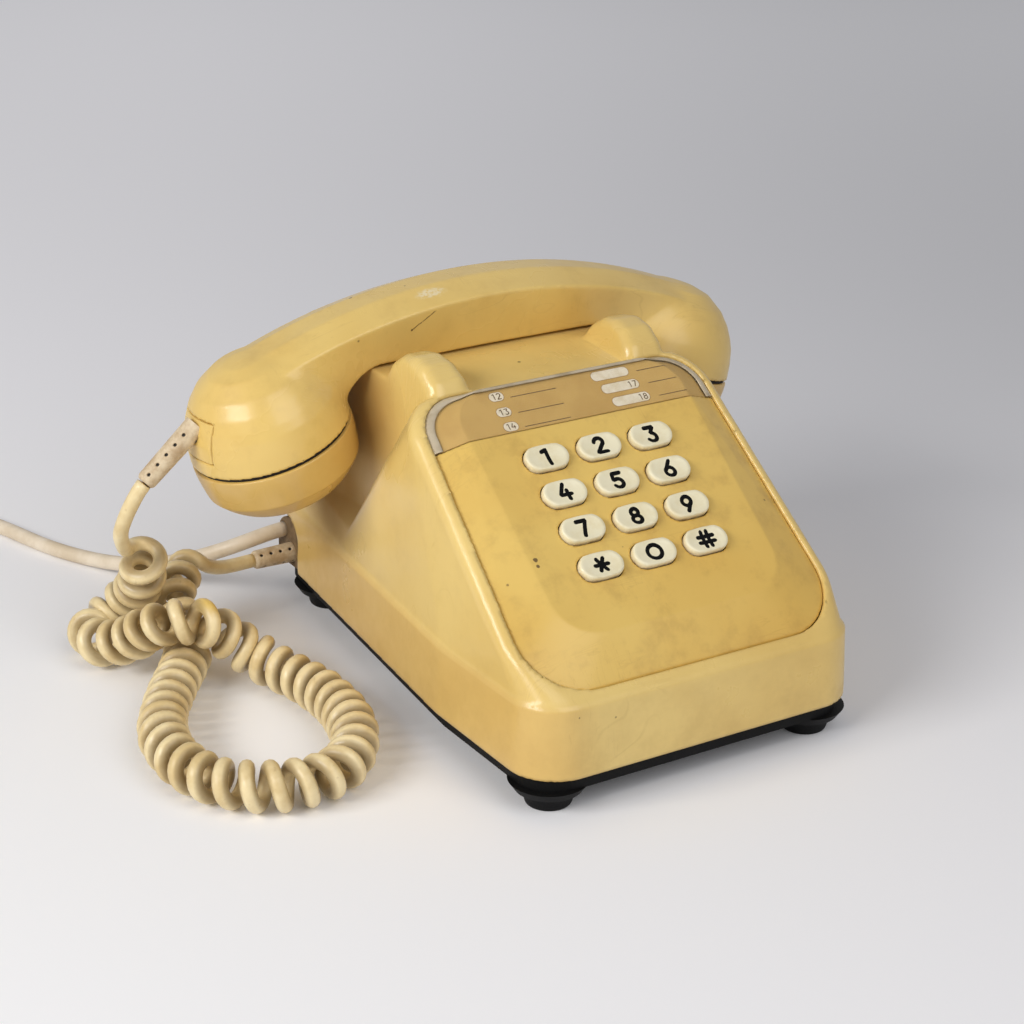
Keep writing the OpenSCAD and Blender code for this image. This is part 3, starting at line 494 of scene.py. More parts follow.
def lathe(profile, sides=48):
    """A turned form round Z: the profile's points, each a radius and a height, swept through a whole
    turn. A point on the axis closes it."""
    profile = np.array(profile, float)
    angle = np.linspace(0, 2 * np.pi, sides, endpoint=False)
    points = np.stack([profile[:, :1] * np.cos(angle), profile[:, :1] * np.sin(angle),
                       np.repeat(profile[:, 1:], sides, axis=1)], -1).reshape(-1, 3)
    return points, ring_faces(len(profile), sides)


def joined(*forms):
    """Several forms, each points and faces, as one."""
    points, faces, count = [], [], 0
    for p, f in forms:
        points.append(p)
        faces.append(np.asarray(f) + count)
        count += len(p)
    return np.vstack(points), np.vstack(faces)


def tidy(piece):
    """Merges doubled points and turns every face outwards."""
    work = bmesh.new()
    work.from_mesh(piece.data)
    bmesh.ops.remove_doubles(work, verts=work.verts, dist=1e-6)
    bmesh.ops.dissolve_degenerate(work, edges=work.edges, dist=1e-6)
    bmesh.ops.recalc_face_normals(work, faces=work.faces)
    work.to_mesh(piece.data)
    work.free()
    piece.data.update()


def plain_plastic(name, pale, deep, roughness, scale=40, depth=0.00008, shine=0.5):
    """A moulded plastic or rubber with faint cloudiness and a fine grain."""
    material, shader, place = new_finish(name, Roughness=roughness, Specular_IOR_Level=shine)
    worn = place.clouds(scale, 4, 0.6).rise(0.35, 0.7)
    feed(shader, Base_Color=worn.blend(pale, deep))
    feed(shader, Roughness=worn * 0.15 + (roughness - 0.05))
    feed(shader, Normal=place.clouds(1500, 2).bump(depth, 0.4))
    return material


# The wall plug: a moulded body with a waist, a ribbed neck where the cord goes in, and two
# rows of flat brass blades, lying on its side.
plug_plastic = plain_plastic("plug_plastic", colour(205, 190, 166), colour(184, 166, 138), 0.4)
plug_y, plug_z = 368, 10.0
body = block((24, 23, 19), (-190, plug_y, plug_z), 3.5)
face = block((4, 20, 15), (-203, plug_y, plug_z), 1.2)
neck = lathe([[0, 0], [5.4, 0], [5.4, 1.2], [4.6, 1.6], [4.6, 2.6], [5.0, 3.0], [4.9, 4.2], [4.1, 4.6],
              [4.1, 5.6], [4.5, 6.0], [4.4, 7.2], [3.6, 7.6], [3.3, 8.6], [2.75, 9.0], [0, 9.0]])
neck = (neck[0][:, [2, 0, 1]] + np.array([-178.4, plug_y, plug_z]), neck[1])
points, faces = joined(body, face, neck)
plug = piece_from("wall_plug", points, faces, plug_plastic)
tidy(plug)
brass = plain_plastic("blade_brass", colour(196, 160, 88), colour(150, 116, 58), 0.3, 120)
brass.node_tree.nodes["Principled BSDF"].inputs["Metallic"].default_value = 1.0
blades = [block((6.5, 1.2, 4.6), (-206.6, plug_y + y, plug_z + z), 0.4, 3)
          for y in (-6.4, 6.4) for z in (-4, 3)]
blades.append(block((6.5, 4.6, 1.2), (-206.6, plug_y, plug_z), 0.4, 3))
pins = piece_from("plug_blades", *joined(*blades), brass)
tidy(pins)
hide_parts("line_plug")
for piece in (plug, pins):
    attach(piece, "base")
metres = path * 0.001
float(run_of(metres)[-1])

# ---- The housing ----------------------------------------------------------------------------
# One shell moulded in glossy ivory plastic that has yellowed: the skirt, the sloping body, the
# neck and four cradle horns. It drops over the base plate; four screws from below hold it.


def softened(name, node, material, cell, rounding, filling=0, where=None):
    """A CAD solid with its hard edges eased as a mould's are. Its copy is rebuilt on an even grid,
    a cell in millimetres, that keeps its creases. Each point then moves half way to the middle of
    its neighbours, `rounding` times, and, as far as where(points in millimetres) says, a further
    `filling` times outwards only, which fills the hollow corners with fillets."""
    copy = bpy.data.objects.new(name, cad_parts[node].data.copy())
    bpy.context.scene.collection.objects.link(copy)
    work = bmesh.new()
    work.from_mesh(copy.data)
    bmesh.ops.remove_doubles(work, verts=work.verts, dist=1e-6)
    work.to_mesh(copy.data)
    work.free()
    even = copy.modifiers.new("even", "REMESH")
    even.mode = "SHARP"
    even.octree_depth = 8
    even.scale = max(copy.dimensions) / (cell * 0.001 * 2 ** even.octree_depth)
    even.use_remove_disconnected = False
    mesh = bpy.data.meshes.new_from_object(copy.evaluated_get(bpy.context.evaluated_depsgraph_get()))
    copy.modifiers.clear()
    copy.data = mesh
    mesh.name = name
    count = len(mesh.vertices)
    points = np.empty(count * 3)
    mesh.vertices.foreach_get("co", points)
    points = points.reshape(-1, 3)
    ends = np.empty(len(mesh.edges) * 2, int)
    mesh.edges.foreach_get("vertices", ends)
    ends = np.r_[ends.reshape(-1, 2), ends.reshape(-1, 2)[:, ::-1]]
    links = np.bincount(ends[:, 0], minlength=count)

    def pull(p):
        """From each point to the middle of its neighbours."""
        sums = [np.bincount(ends[:, 0], weights=values[ends[:, 1]], minlength=count) for values in p.T]
        return np.column_stack(sums) / links[:, None] - p

    for _ in range(rounding):
        points += 0.5 * pull(points)
    share = where(points * 1000)[:, None] if where else 0
    normals = np.empty(count * 3)
    for turn in range(filling):
        if turn % 4 == 0:
            mesh.vertices.foreach_set("co", points.ravel())
            mesh.update()
            mesh.vertex_normals.foreach_get("vector", normals)
        way = normals.reshape(-1, 3)
        step = (pull(points) * way).sum(axis=1)[:, None]
        points += share * np.maximum(step, 0) * way
    mesh.vertices.foreach_set("co", points.ravel())
    mesh.polygons.foreach_set("use_smooth", np.ones(len(mesh.polygons), bool))
    mesh.materials.clear()
    mesh.materials.append(material)
    mesh.update()
    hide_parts(node)
    return copy


face_slope = math.radians(38)
face_at = np.array([0, -50.9, 76.1])
face_up = np.array([0, math.cos(face_slope), math.sin(face_slope)])
face_out = np.array([0, -face_up[2], face_up[1]])


def on_face(points):
    """Points given across the sloping face, up it and out of it, as points of the telephone."""
    points = np.asarray(points, float)
    return face_at + points[:, :1] * [1, 0, 0] + points[:, 1:2] * face_up + points[:, 2:3] * face_out


def aged_plastic(name, pale, deep, dirt, roughness, marks=1.0, grime=0.1, nicks=(), scuffs=(), cuts=(),
                 hollows=()):
    """Glossy moulded plastic after decades of use: yellowed in clouds, with grime low down, painted shade
    that makes the skirt on the left darker and more orange, rubbed patches and hair scratches. nicks are
    small and dark and scuffs long and pale, each at a place with its size. cuts are thin and dark, from
    one place to another. Painted shade darkens and dulls the hollows, the same on the left and the
    right. All of these are in metres."""
    material, shader, place = new_finish(name, Roughness=roughness, IOR=1.5, Coat_Weight=0.15,
                                         Coat_Roughness=0.12)
    wide = place.clouds(11, 3, 0.5)
    patch = place.clouds(38, 4, 0.6, (3, 1, 2))
    shade = wide.rise(0.3, 0.7).blend(pale, deep)
    shade = (patch.rise(0.5, 0.72) * 0.3).blend(shade, deep)
    low = place.part(2).rise(0.052, 0.016) * place.clouds(70, 4, 0.65).rise(0.3, 0.75)
    shade = (low * 0.22).blend(shade, dirt)
    # Painted shade: the skirt on the left, below the crease, is darkened and made more orange, as less light
    # falls on it.
    painted_skirt_shade = place.part(2).rise(0.0375, 0.0345) * place.part(0).rise(-0.035, -0.055)
    shade = (painted_skirt_shade * 0.4).blend(shade, colour(206, 160, 82))
    dull = 0.0
    # Painted shade: each hollow is darkened to a deep brown and its gloss dulled, as the shade there would
    # darken it.
    for spot, width, shade_depth in hollows:
        halves = {"X": place.part(0).size(), "Y": place.part(1), "Z": place.part(2)}
        folded = place.add("ShaderNodeCombineXYZ", None, halves)
        inside = (place.clouds(45, 3) * 0.3 + folded.far(*spot) / width).rise(1.25, 0.45)
        shade = (inside * shade_depth).blend(shade, colour(136, 86, 6))
        dull = inside * 0.5 + dull
    hairs = place.turned((0.3, 0.5, 0.6), (30, 420, 30)).clouds(1, 2, 0.5) - 0.5
    cross = place.turned((-0.5, 0.2, -0.9), (420, 34, 34)).clouds(1, 2, 0.5, (5, 2, 1)) - 0.5
    sparse = place.clouds(24, 2, 0.5, (7, 3, 5)).rise(0.52, 0.66)
    other = place.clouds(27, 2, 0.5, (1, 8, 4)).rise(0.54, 0.68)
    scratch = hairs.size().rise(0.012, 0.003) * sparse + cross.size().rise(0.010, 0.002) * other
    shade = (scratch * 0.16 * marks).blend(shade, dirt)
    nick = place.cells(120).rise(0.06, 0.035) * place.cells(120, 1).part(0).rise(0.9, 0.92)
    shade = (nick * 0.8 * marks).blend(shade, colour(92, 66, 32))
    rubbed = place.clouds(16, 4, 0.55, (9, 9, 2)).rise(0.42, 0.62)
    grain = place.clouds(95, 4, 0.65, (2, 6, 1))
    shade = (grain.rise(0.45, 0.8) * grime).blend(shade, dirt)
    for x, y, z, size in nicks:
        chip = (place.clouds(900, 2) * 0.6 + place.far(x, y, z) / size).rise(1.25, 1.0)
        shade = (chip * 0.85).blend(shade, colour(70, 46, 22))
    for x, y, z, size in scuffs:
        stretch = (0.42, 1, 1.3)
        off = place.turned((0, 0, 0), stretch).far(x * stretch[0], y * stretch[1], z * stretch[2]) / size
        smear = (place.clouds(500, 3) * 0.9 + off).rise(1.5, 0.8) * place.clouds(1100, 3).rise(0.3, 0.6)
        shade = (smear * 0.62).blend(shade, colour(240, 232, 205))
    for start, end, width in cuts:
        way = np.subtract(end, start)
        long = float(np.linalg.norm(way))
        way = way / long
        square = np.cross(way, (0, 1, 0))
        gone = place.along(*way) - float(way @ start)
        wander = (place.clouds(500, 2) - 0.5) * 0.0006
        beside = (place.along(*square) - float(square @ start) + wander).size()
        cut = beside.rise(width, width * 0.4) * gone.rise(0, 0.0008) * gone.rise(long, long - 0.0012)
        cut = cut * place.part(1).rise(start[1] + 0.006, start[1] + 0.004)
        shade = (cut * place.clouds(600, 2).rise(0.3, 0.5) * 0.8).blend(shade, colour(88, 58, 26))
    feed(shader, Base_Color=shade)
    feed(shader, Roughness=rubbed * 0.16 + scratch * 0.12 + (roughness - 0.04) + low * 0.15 + dull)
    if hollows:
        feed(shader, Coat_Weight=(dull * 2).rise(1, 0) * 0.15)
    skin = place.clouds(240, 2) * 0.25 - scratch * 0.2 * marks - nick
    feed(shader, Normal=skin.bump(0.00022, 0.5))
    return material


def near_joints(p):
    """1 round the horns, the neck and the upper part of its joint with the sloping body, 0 at the
    faceplate, its pocket and everything below or inside."""
    share = np.clip((p[:, 2] - 60) / 14, 0, 1) * np.clip((p[:, 1] + 20) / 6, 0, 1)
    outline = np.maximum(np.abs(p[:, 0]) - 54.5, (p - face_at) @ face_up - 50.8)
    return share * np.clip((outline - 0.6) / 1.5, 0, 1)


shell_plastic = aged_plastic("shell_plastic", colour(234, 205, 128), colour(222, 188, 108),
                             colour(158, 118, 58), roughness=0.30, marks=0.7, grime=0.1,
                             nicks=[(0.0003, 0.0125, 0.1026, 0.0007), (-0.0465, -0.098, 0.033, 0.0008)],
                             # The hollows are painted shade: the neck behind the horns and the flank below
                             # it.
                             hollows=[((0.046, 0.034, 0.088), 0.026, 0.6),
                                      ((0.042, 0.054, 0.058), 0.03, 0.7)])
housing = softened("housing_shell", "housing", shell_plastic, cell=1.16, rounding=1, filling=28,
                   where=near_joints)
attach(housing, "base")

# ---- The faceplate ------------------------------------------------------------------------
# A plate of a more orange, less glossy ivory, let into the sloping face with a hair-wide gap
# all round. Its middle stands up with a soft bevel round it.

face_plastic = aged_plastic("face_plastic", colour(229, 194, 104), colour(217, 176, 84),
                            colour(150, 104, 44), roughness=0.42, marks=0.8, grime=0.3,
                            nicks=[(-0.0392, -0.0609, 0.0683, 0.0009), (-0.0394, -0.0626, 0.0669, 0.0007)])
faceplate = softened("face_panel", "faceplate", face_plastic, cell=0.7, rounding=1)
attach(faceplate, "base")

# ---- The keys -------------------------------------------------------------------------------
# Twelve oblong keys of cream plastic, each dished for the finger, with its sign in black set
# into it. They slide in the faceplate.
key_w, key_h, key_up = 15.4, 8.9, 2.0
pitch_x, pitch_y = 19.5, 13.3
key_foot = -9.0
key_sides = 72
sign_scale, pen_half = 1.05, 0.82
key_places = [(x * pitch_x, y * pitch_y) for y in (1.5, 0.5, -0.5, -1.5) for x in (-1, 0, 1)]
key_names = ["key_1", "key_2", "key_3", "key_4", "key_5", "key_6",
             "key_7", "key_8", "key_9", "key_star", "key_0", "key_hash"]


def dish(x, y):
    """Height of a key's hollow top: part of a ball's surface, deepest in the middle."""
    off_centre = (x / (key_w / 2)) ** 2 * 0.95 + (y / (key_h / 2)) ** 2 * 0.95
    return key_up - 0.75 * np.clip(1 - off_centre, 0, 1)


def oblong(inset):
    """Points round a slot shape, a half circle at each end of a rectangle, drawn smaller by the inset."""
    angle = np.linspace(0, 2 * np.pi, key_sides, endpoint=False)
    reach = key_w / 2 - key_h / 2
    radius = key_h / 2 - inset
    return np.column_stack([np.sign(np.cos(angle)) * reach * np.minimum(1, np.abs(np.cos(angle)) * 3)
                            + radius * np.cos(angle), radius * np.sin(angle)])


def key_cap(at):
    """A key's cap: rings of the slot shape from the middle of its underside out to the foot of its
    wall, up over the rounded rim and in to the middle of the hollow top."""
    insets = [(0.0, key_foot), (0.0, 0.9), (0.05, 1.35), (0.2, 1.7), (0.45, 1.95)]
    rings = [np.zeros((key_sides, 3)) + [0, 0, key_foot]]
    rings += [np.column_stack([oblong(inset), np.full(key_sides, height)]) for inset, height in insets]
    for share in (0.86, 0.74, 0.6, 0.45, 0.3, 0.15, 0.0):
        flat = oblong(0.45) * share
        rings.append(np.column_stack([flat, dish(*flat.T)]))
    return on_face(np.vstack(rings) + [at[0], at[1], 0]), ring_faces(len(rings), key_sides)


key_plastic, shader, place = new_finish("key_plastic", Roughness=0.36, Coat_Weight=0.2, Coat_Roughness=0.1)
worn = place.clouds(150, 4, 0.6).rise(0.4, 0.7)
shade = (worn * 0.6).blend(colour(240, 231, 198), colour(226, 211, 166))
depth = place.along(*face_out) - float(face_at @ face_out) * 0.001
foot = depth.rise(0.0012, -0.0006) * place.clouds(300, 3).rise(0.25, 0.7)
feed(shader, Base_Color=(foot * 0.75).blend(shade, colour(150, 112, 58)))
feed(shader, Roughness=worn * 0.18 + 0.3)
feed(shader, Normal=place.clouds(500, 2).bump(0.0001, 0.4))

sign_black = plain_plastic("sign_black", colour(5, 5, 6), colour(9, 9, 9), 0.75, 200, shine=0.12)


def bow(x, y, rx, ry, start, end, count=14):
    """Points along part of an ellipse, between two angles in degrees."""
    angle = np.radians(np.linspace(start, end, count))
    return np.column_stack([x + rx * np.cos(angle), y + ry * np.sin(angle)])


signs = {
    "key_1": [np.array([[-1.1, 1.9], [0.3, 2.35], [0.3, -2.5]])],
    "key_2": [np.vstack([bow(0, 1.15, 1.5, 1.35, 165, -20), [[-1.55, -2.4], [1.6, -2.4]]])],
    "key_3": [np.vstack([[[-1.5, 2.4], [1.35, 2.4], [0.05, 0.55]], bow(0, -0.95, 1.5, 1.5, 80, -150)])],
    "key_4": [np.array([[0.0, 2.5], [-1.7, -0.75], [1.75, -0.75]]), np.array([[0.75, 0.5], [0.75, -2.4]])],
    "key_5": [np.vstack([[[1.3, 2.4], [-1.15, 2.4], [-1.3, 0.35]], bow(-0.05, -0.9, 1.55, 1.5, 115, -150)])],
    "key_6": [np.vstack([[[0.75, 2.5]], [[-0.85, 0.2]], bow(0, -0.9, 1.5, 1.5, 150, 510, 26)])],
    "key_7": [np.array([[-1.5, 2.35], [1.5, 2.35], [-0.4, -2.45]])],
    "key_8": [bow(0, 1.25, 1.2, 1.15, -90, 270, 22), bow(0, -1.1, 1.5, 1.3, 90, 450, 24)],
    "key_9": [np.vstack([bow(0, 0.95, 1.5, 1.5, -30, 330, 26), [[0.85, -0.2], [-0.75, -2.45]]])],
    "key_star": [np.array([[-2.1 * math.cos(a), -2.1 * math.sin(a)], [2.1 * math.cos(a), 2.1 * math.sin(a)]])
                 for a in (math.radians(0), math.radians(60), math.radians(120))],
    "key_0": [bow(0, 0, 2.35, 2.25, 0, 360, 34)],
    "key_hash": [np.array(ends) for ends in ([[-0.95, -2.4], [-0.95, 2.4]], [[0.95, -2.4], [0.95, 2.4]],
                                             [[-2.5, 0.95], [2.5, 0.95]], [[-2.5, -0.95], [2.5, -0.95]])],
}


def stroke(line, at):
    """A pen stroke with round ends, laid on a key's hollow top: a ribbon that is slightly crowned
    across, with a half circle of points added at each end."""
    line = evenly(line, 0.22)
    way = heading(line)
    caps = np.linspace(0.96, 0, 5)
    start = line[0] - np.outer(pen_half * caps, way[0])
    end = line[-1] + np.outer(pen_half * caps[::-1], way[-1])
    width = pen_half * np.sqrt(1 - caps ** 2)
    line = np.vstack([start[:-1], line, end[1:]])
    widths = np.r_[width[:-1], np.full(len(line) - 8, pen_half), width[::-1][1:]]
    way = np.vstack([np.repeat(way[:1], 4, axis=0), way, np.repeat(way[-1:], 4, axis=0)])
    side = np.column_stack([-way[:, 1], way[:, 0]])
    across = np.array([-1, -0.7, 0, 0.7, 1])[None, :] * widths[:, None]
    sheet = line[:, None] + across[..., None] * side[:, None]
    lift = np.array([-0.05, 0.05, 0.07, 0.05, -0.05])[None, :]
    height = dish(sheet[..., 0], sheet[..., 1]) + lift
    points = np.concatenate([sheet, height[..., None]], -1).reshape(-1, 3)
    faces = sheet_faces(len(line), across.shape[1])[:, [0, 3, 2, 1]]
    return on_face(points + [at[0], at[1], 0]), faces


for name, at in zip(key_names, key_places):
    cap = piece_from(name + "_cap", *key_cap(at), key_plastic)
    tidy(cap)
    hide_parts(name)
    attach(cap, name)
    strokes = [stroke(pen * sign_scale, at) for pen in signs[name]]
    sign = piece_from(name + "_sign", *joined(*strokes), sign_black)
    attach(sign, name)

# ---- The handset ----------------------------------------------------------------------------
# One hollow moulding, a deep arched handle with a cup at each end, in the housing's plastic.
# Its underside is flat between two arches, where the fingers go round it.


def round_cups(p):
    """1 all over the handset, but 0 near the block's pocket in the outer end of the mouth cup and
    below the seams."""
    away = np.abs(p - np.array([-104, 43, 86])) / np.array([8.0, 12.5, 9.5])
    above = p[:, 2] - 84 + 0.33 * (np.abs(p[:, 0]) - 75)
    return np.clip((away.max(axis=1) - 1) / 0.25, 0, 1) * np.clip(above / 6, 0, 1)


handset_plastic = aged_plastic("handset_plastic", colour(231, 199, 118), colour(216, 178, 94),
                               colour(150, 108, 50), roughness=0.29, marks=0.8, grime=0.14,
                               nicks=[(-0.0427, 0.0479, 0.1216, 0.0007),
                                      (-0.0306, 0.0285, 0.1141, 0.0005)],
                               scuffs=[(-0.0206, 0.0342, 0.1235, 0.0028)],
                               cuts=[((-0.0312, 0.0285, 0.1137), (-0.0217, 0.0278, 0.1197), 0.0003)])
handset = softened("handset_body", "handset_shell", handset_plastic, cell=0.82, rounding=2,
                   filling=110, where=round_cups)
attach(handset, "handset")

# The two screwed caps: turned forms that close the cups, the mouth's and the ear's alike.
cap_plastic = aged_plastic("cap_plastic", colour(214, 178, 102), colour(198, 156, 76),
                           colour(136, 94, 40), roughness=0.30)
cup_r = 27.2
cap_depth = 19.5
cap_top = -0.85
cap_inside = [[cup_r - 4.3, cap_top], [cup_r - 4.3, 4], [cup_r - 6, 4], [cup_r - 6, -cap_depth + 5],
              [cup_r - 8, -cap_depth + 3], [0, -cap_depth + 3]]


def at_cup(side, points):
    """Points of a cup, whose origin is the middle of its seam and whose +Z runs up the cup's axis, as
    points of the telephone."""
    tilt = math.radians(19) * side
    tilted = np.array([[math.cos(tilt), 0, math.sin(tilt)], [0, 1, 0], [-math.sin(tilt), 0, math.cos(tilt)]])
    return points @ tilted.T + np.array([side * 75.3, 43, 82.1])


def rounded_profile(knots):
    """A profile with its corners cut twice: each pass puts points at a quarter and three quarters
    of every side."""
    line = np.array(knots, float)
    for _ in range(2):
        cut = np.stack([0.75 * line[:-1] + 0.25 * line[1:], 0.25 * line[:-1] + 0.75 * line[1:]], 1)
        line = np.vstack([line[:1], cut.reshape(-1, 2), line[-1:]])
    return line


cap_outside = rounded_profile([[0, -cap_depth + 0.2], [cup_r - 15, -cap_depth - 0.3],
                               [cup_r - 10.5, -cap_depth - 0.9], [cup_r - 7.6, -cap_depth + 0.1],
                               [cup_r - 4.0, -cap_depth + 3.4], [cup_r - 1.25, -cap_depth + 6.9],
                               [cup_r - 1.0, -cap_depth + 7.5], [cup_r - 0.35, -cap_depth + 12],
                               [cup_r, -4], [cup_r, -2.0], [cup_r, -1.05], [cup_r - 0.5, cap_top]])
hole_shade = plain_plastic("hole_shade", colour(40, 26, 12), colour(26, 18, 10), 0.8)
for side, name, rings in ((-1, "mouth_cap", 1), (1, "ear_cap", 2)):
    points, faces = lathe(np.vstack([cap_outside, cap_inside]), 96)
    cap = piece_from(name + "_turned", at_cup(side, points), faces, cap_plastic)
    tidy(cap)
    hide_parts(name)
    # The sound holes are dark plugs in the cap: painted shade for the dark inside of each hole.
    places = [(0.0, 0.0)] + [(k * 4.5, a) for k in range(1, rings + 1) for a in range(0, 360, 60 // k)]
    pit = lathe([[0, -cap_depth - 0.02], [0.95, -cap_depth - 0.02], [1.15, -cap_depth + 0.1],
                 [1.1, -cap_depth + 2.4], [0, -cap_depth + 2.4]], 16)
    pits = []
    for radius, a in places:
        lift = 0.9 if radius < 7 else 0.66
        shift = np.array([radius * math.cos(math.radians(a)), radius * math.sin(math.radians(a)), lift])
        pits.append((pit[0] + shift, pit[1]))
    points, faces = joined(*pits)
    holes = piece_from(name + "_holes", at_cup(side, points), faces, hole_shade)
    tidy(holes)
    for piece in (cap, holes):
        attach(piece, "handset")

# The dark line between a cup and its cap is painted shade: a near-black ring lies well back in the seam,
# where the groove is in shade.
seam_shade = plain_plastic("seam_shade_dark", colour(20, 14, 9), colour(14, 10, 7), 0.8)
ring = np.array([[cup_r - 4.2, -0.83], [cup_r - 1.0, -0.83], [cup_r - 0.9, -0.2], [cup_r - 1.0, 0.38],
                 [cup_r - 4.2, 0.38], [cup_r - 4.2, -0.83]])
for side, name in ((-1, "mouth_seam_shade"), (1, "ear_seam_shade")):
    points, faces = lathe(ring, 96)
    piece = piece_from(name, at_cup(side, points), faces, seam_shade)
    tidy(piece)
    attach(piece, "handset")

# The square block at the mouth end grips the cord's sleeve and sits flush in the moulding.
grip = softened("sleeve_block", "cord_block", handset_plastic, cell=0.45, rounding=1)
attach(grip, "handset")

# ---- The sleeves ------------------------------------------------------------------------------
# A rubber sleeve at each end of the curly cord keeps it from kinking: a tapered tube with
# rows of small round pits, which let it bend.
sleeve_rubber, shader, place = new_finish("sleeve_rubber", Roughness=0.55)
worn = place.clouds(220, 4, 0.6).rise(0.35, 0.7)
pit = place.add("ShaderNodeAttribute", {"attribute_name": "pit"}, None, 2)
shade = worn.blend(colour(222, 204, 172), colour(186, 160, 124))
# The pits are painted near-black: painted shade for the dark inside of each pit.
feed(shader, Base_Color=pit.rise(0.25, 0.6).blend(shade, colour(30, 24, 18)))
feed(shader, Normal=place.clouds(900, 2).bump(0.0001, 0.4))


def sleeve(name, mouth, tip, body):
    """A tube along a straight axis, tapered and rounded off at the tip, with rows of pits: the radius
    falls by a steep bump at each pit's centre."""
    mouth, tip = np.array(mouth, float), np.array(tip, float)
    long = np.linalg.norm(tip - mouth)
    way = (tip - mouth) / long
    down = np.cross(way, [0, 1, 0])
    down /= np.linalg.norm(down)
    other = np.cross(way, down)
    rings, sides = 110, 120
    along, angle = np.meshgrid(np.linspace(0, 1, rings), np.linspace(0, 2 * np.pi, sides, endpoint=False),
                               indexing="ij")
    radius = 3.7 - 0.45 * along - 0.7 * np.clip((along - 0.94) / 0.06, 0, 1) ** 2
    pitted = np.zeros_like(along)
    for row in range(5):
        for k in range(4):
            pit_along, pit_turn = 0.16 + 0.17 * row + 0.05 * (k % 2), np.pi / 4 + k * np.pi / 2
            turned = (angle - pit_turn + np.pi) % (2 * np.pi) - np.pi
            off = np.hypot((along - pit_along) * long, turned * 3.5)
            pitted = np.maximum(pitted, 1 / (1 + (off / 0.56) ** 8))
    radius = radius - 0.8 * pitted
    points = (mouth + along[..., None] * long * way
              + radius[..., None] * (np.cos(angle)[..., None] * down + np.sin(angle)[..., None] * other))
    points = np.vstack([points.reshape(-1, 3), mouth, tip])
    faces = ring_faces(rings, sides).tolist() + end_fans(rings, sides)
    piece = piece_from(name + "_tube", points, faces, sleeve_rubber)
    mark(piece, "pit", np.r_[pitted.ravel(), 0, 0])
    tidy(piece)
    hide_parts(name)
    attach(piece, body)


sleeve("handset_sleeve", (-101.5, 43, 90.08), (-120.0, 43, 74.0), "handset")
sleeve("base_sleeve", (-40.5, 87, 18), (-62, 87, 18), "base")

# ---- The base ---------------------------------------------------------------------------------
# A black moulded plate closes the housing from below and stands on four turned rubber feet,
# each pushed into the plate. The cords come in through a split rubber grommet at the back.


def dress(material, *nodes):
    """Gives a solid its finish."""
    for name in nodes:
        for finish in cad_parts[name].material_slots:
            finish.material = material


black_plastic = plain_plastic("black_plastic", colour(6, 6, 7), colour(12, 12, 12), 0.6, 60, 0.00015, 0.2)
dress(black_plastic, "base_plate", "keypad_frame", "hook_switch")
dress(plain_plastic("grommet_rubber", colour(128, 104, 72), colour(92, 72, 48), 0.7, 150), "cord_grommet")
foot_rubber = plain_plastic("foot_rubber", colour(6, 6, 7), colour(14, 14, 14), 0.6, 130, 0.0002, 0.2)
foot = rounded_profile([[0, 0], [5.6, 0], [6.9, 0.0], [7.4, 0.9], [7.7, 2.6], [8.3, 4.4], [8.35, 5.15],
                        [7.6, 5.2], [3.1, 5.2], [3, 5.6], [3, 9], [0, 9]])
feet = [(x, -84.4) for x in (-48.5, 48.5)] + [(x, 78) for x in (-36.5, 36.5)]
forms = []
for x, y in feet:
    points, faces = lathe(foot, 56)
    forms.append((points + [x, y, 0], faces))
piece = piece_from("feet", *joined(*forms), foot_rubber)
tidy(piece)
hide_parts("rubber_feet")
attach(piece, "base")

# ---- The works --------------------------------------------------------------------------------
# What the case hides: the boards and their parts, the two gongs with their clapper and coils,
# the cradle's spring and switch, and the capsules of the handset.


def metal(name, pale, deep, roughness, scale=90):
    """Bare or plated metal: brushed cloudiness in its colour and its gloss."""
    material, shader, place = new_finish(name, Roughness=roughness, Metallic=1.0)
    worn = place.turned((0, 0, 0.4), (1, 6, 1)).clouds(scale, 4, 0.6)
    feed(shader, Base_Color=worn.rise(0.3, 0.7).blend(pale, deep))
    feed(shader, Roughness=worn * 0.3 + (roughness - 0.12))
    return material


def board_finish():
    """Circuit board: green lacquer with copper tracks that run along and across."""
    material, shader, place = new_finish("circuit_board", Roughness=0.4)
    lanes = place.maths("FRACT", place.part(0) * 260).rise(0.32, 0.28)
    cross = place.maths("FRACT", place.part(1) * 120).rise(0.2, 0.16)
    where = place.clouds(60, 1).rise(0.5, 0.52)
    tracks = (lanes * where + cross * (1 - where)).rise(0.4, 0.6)
    feed(shader, Base_Color=(tracks * 0.7).blend(colour(52, 88, 52), colour(150, 138, 74)))
    feed(shader, Roughness=tracks * -0.12 + 0.45)
    return material


dress(metal("steel", colour(190, 190, 188), colour(150, 150, 148), 0.34), "case_screws", "keypad_screws",
      "gong_screws", "clapper", "clapper_pin", "hook_spring", "hook_bracket", "ringer_base")
dress(metal("gong_brass", colour(206, 172, 100), colour(168, 130, 66), 0.26), "gong_left", "gong_right")
dress(metal("capsule_metal", colour(172, 172, 176), colour(120, 120, 126), 0.4), "microphone", "earphone")
dress(metal("coil_winding", colour(186, 104, 60), colour(140, 70, 40), 0.36, 400), "ringer_coils")
dress(board_finish(), "main_board", "keypad_board")
dress(plain_plastic("transformer_iron", colour(84, 80, 76), colour(56, 52, 50), 0.5), "speech_transformer")
dress(plain_plastic("capacitor_film", colour(196, 140, 62), colour(160, 104, 44), 0.3), "capacitors")
dress(plain_plastic("terminal_plastic", colour(222, 214, 188), colour(196, 184, 150), 0.45), "terminal_block")
dress(plain_plastic("mat_rubber", colour(96, 96, 100), colour(72, 72, 76), 0.65), "key_mat")
dress(plain_plastic("hook_plastic", colour(232, 222, 190), colour(206, 190, 148), 0.4, 120), "hook_plungers")

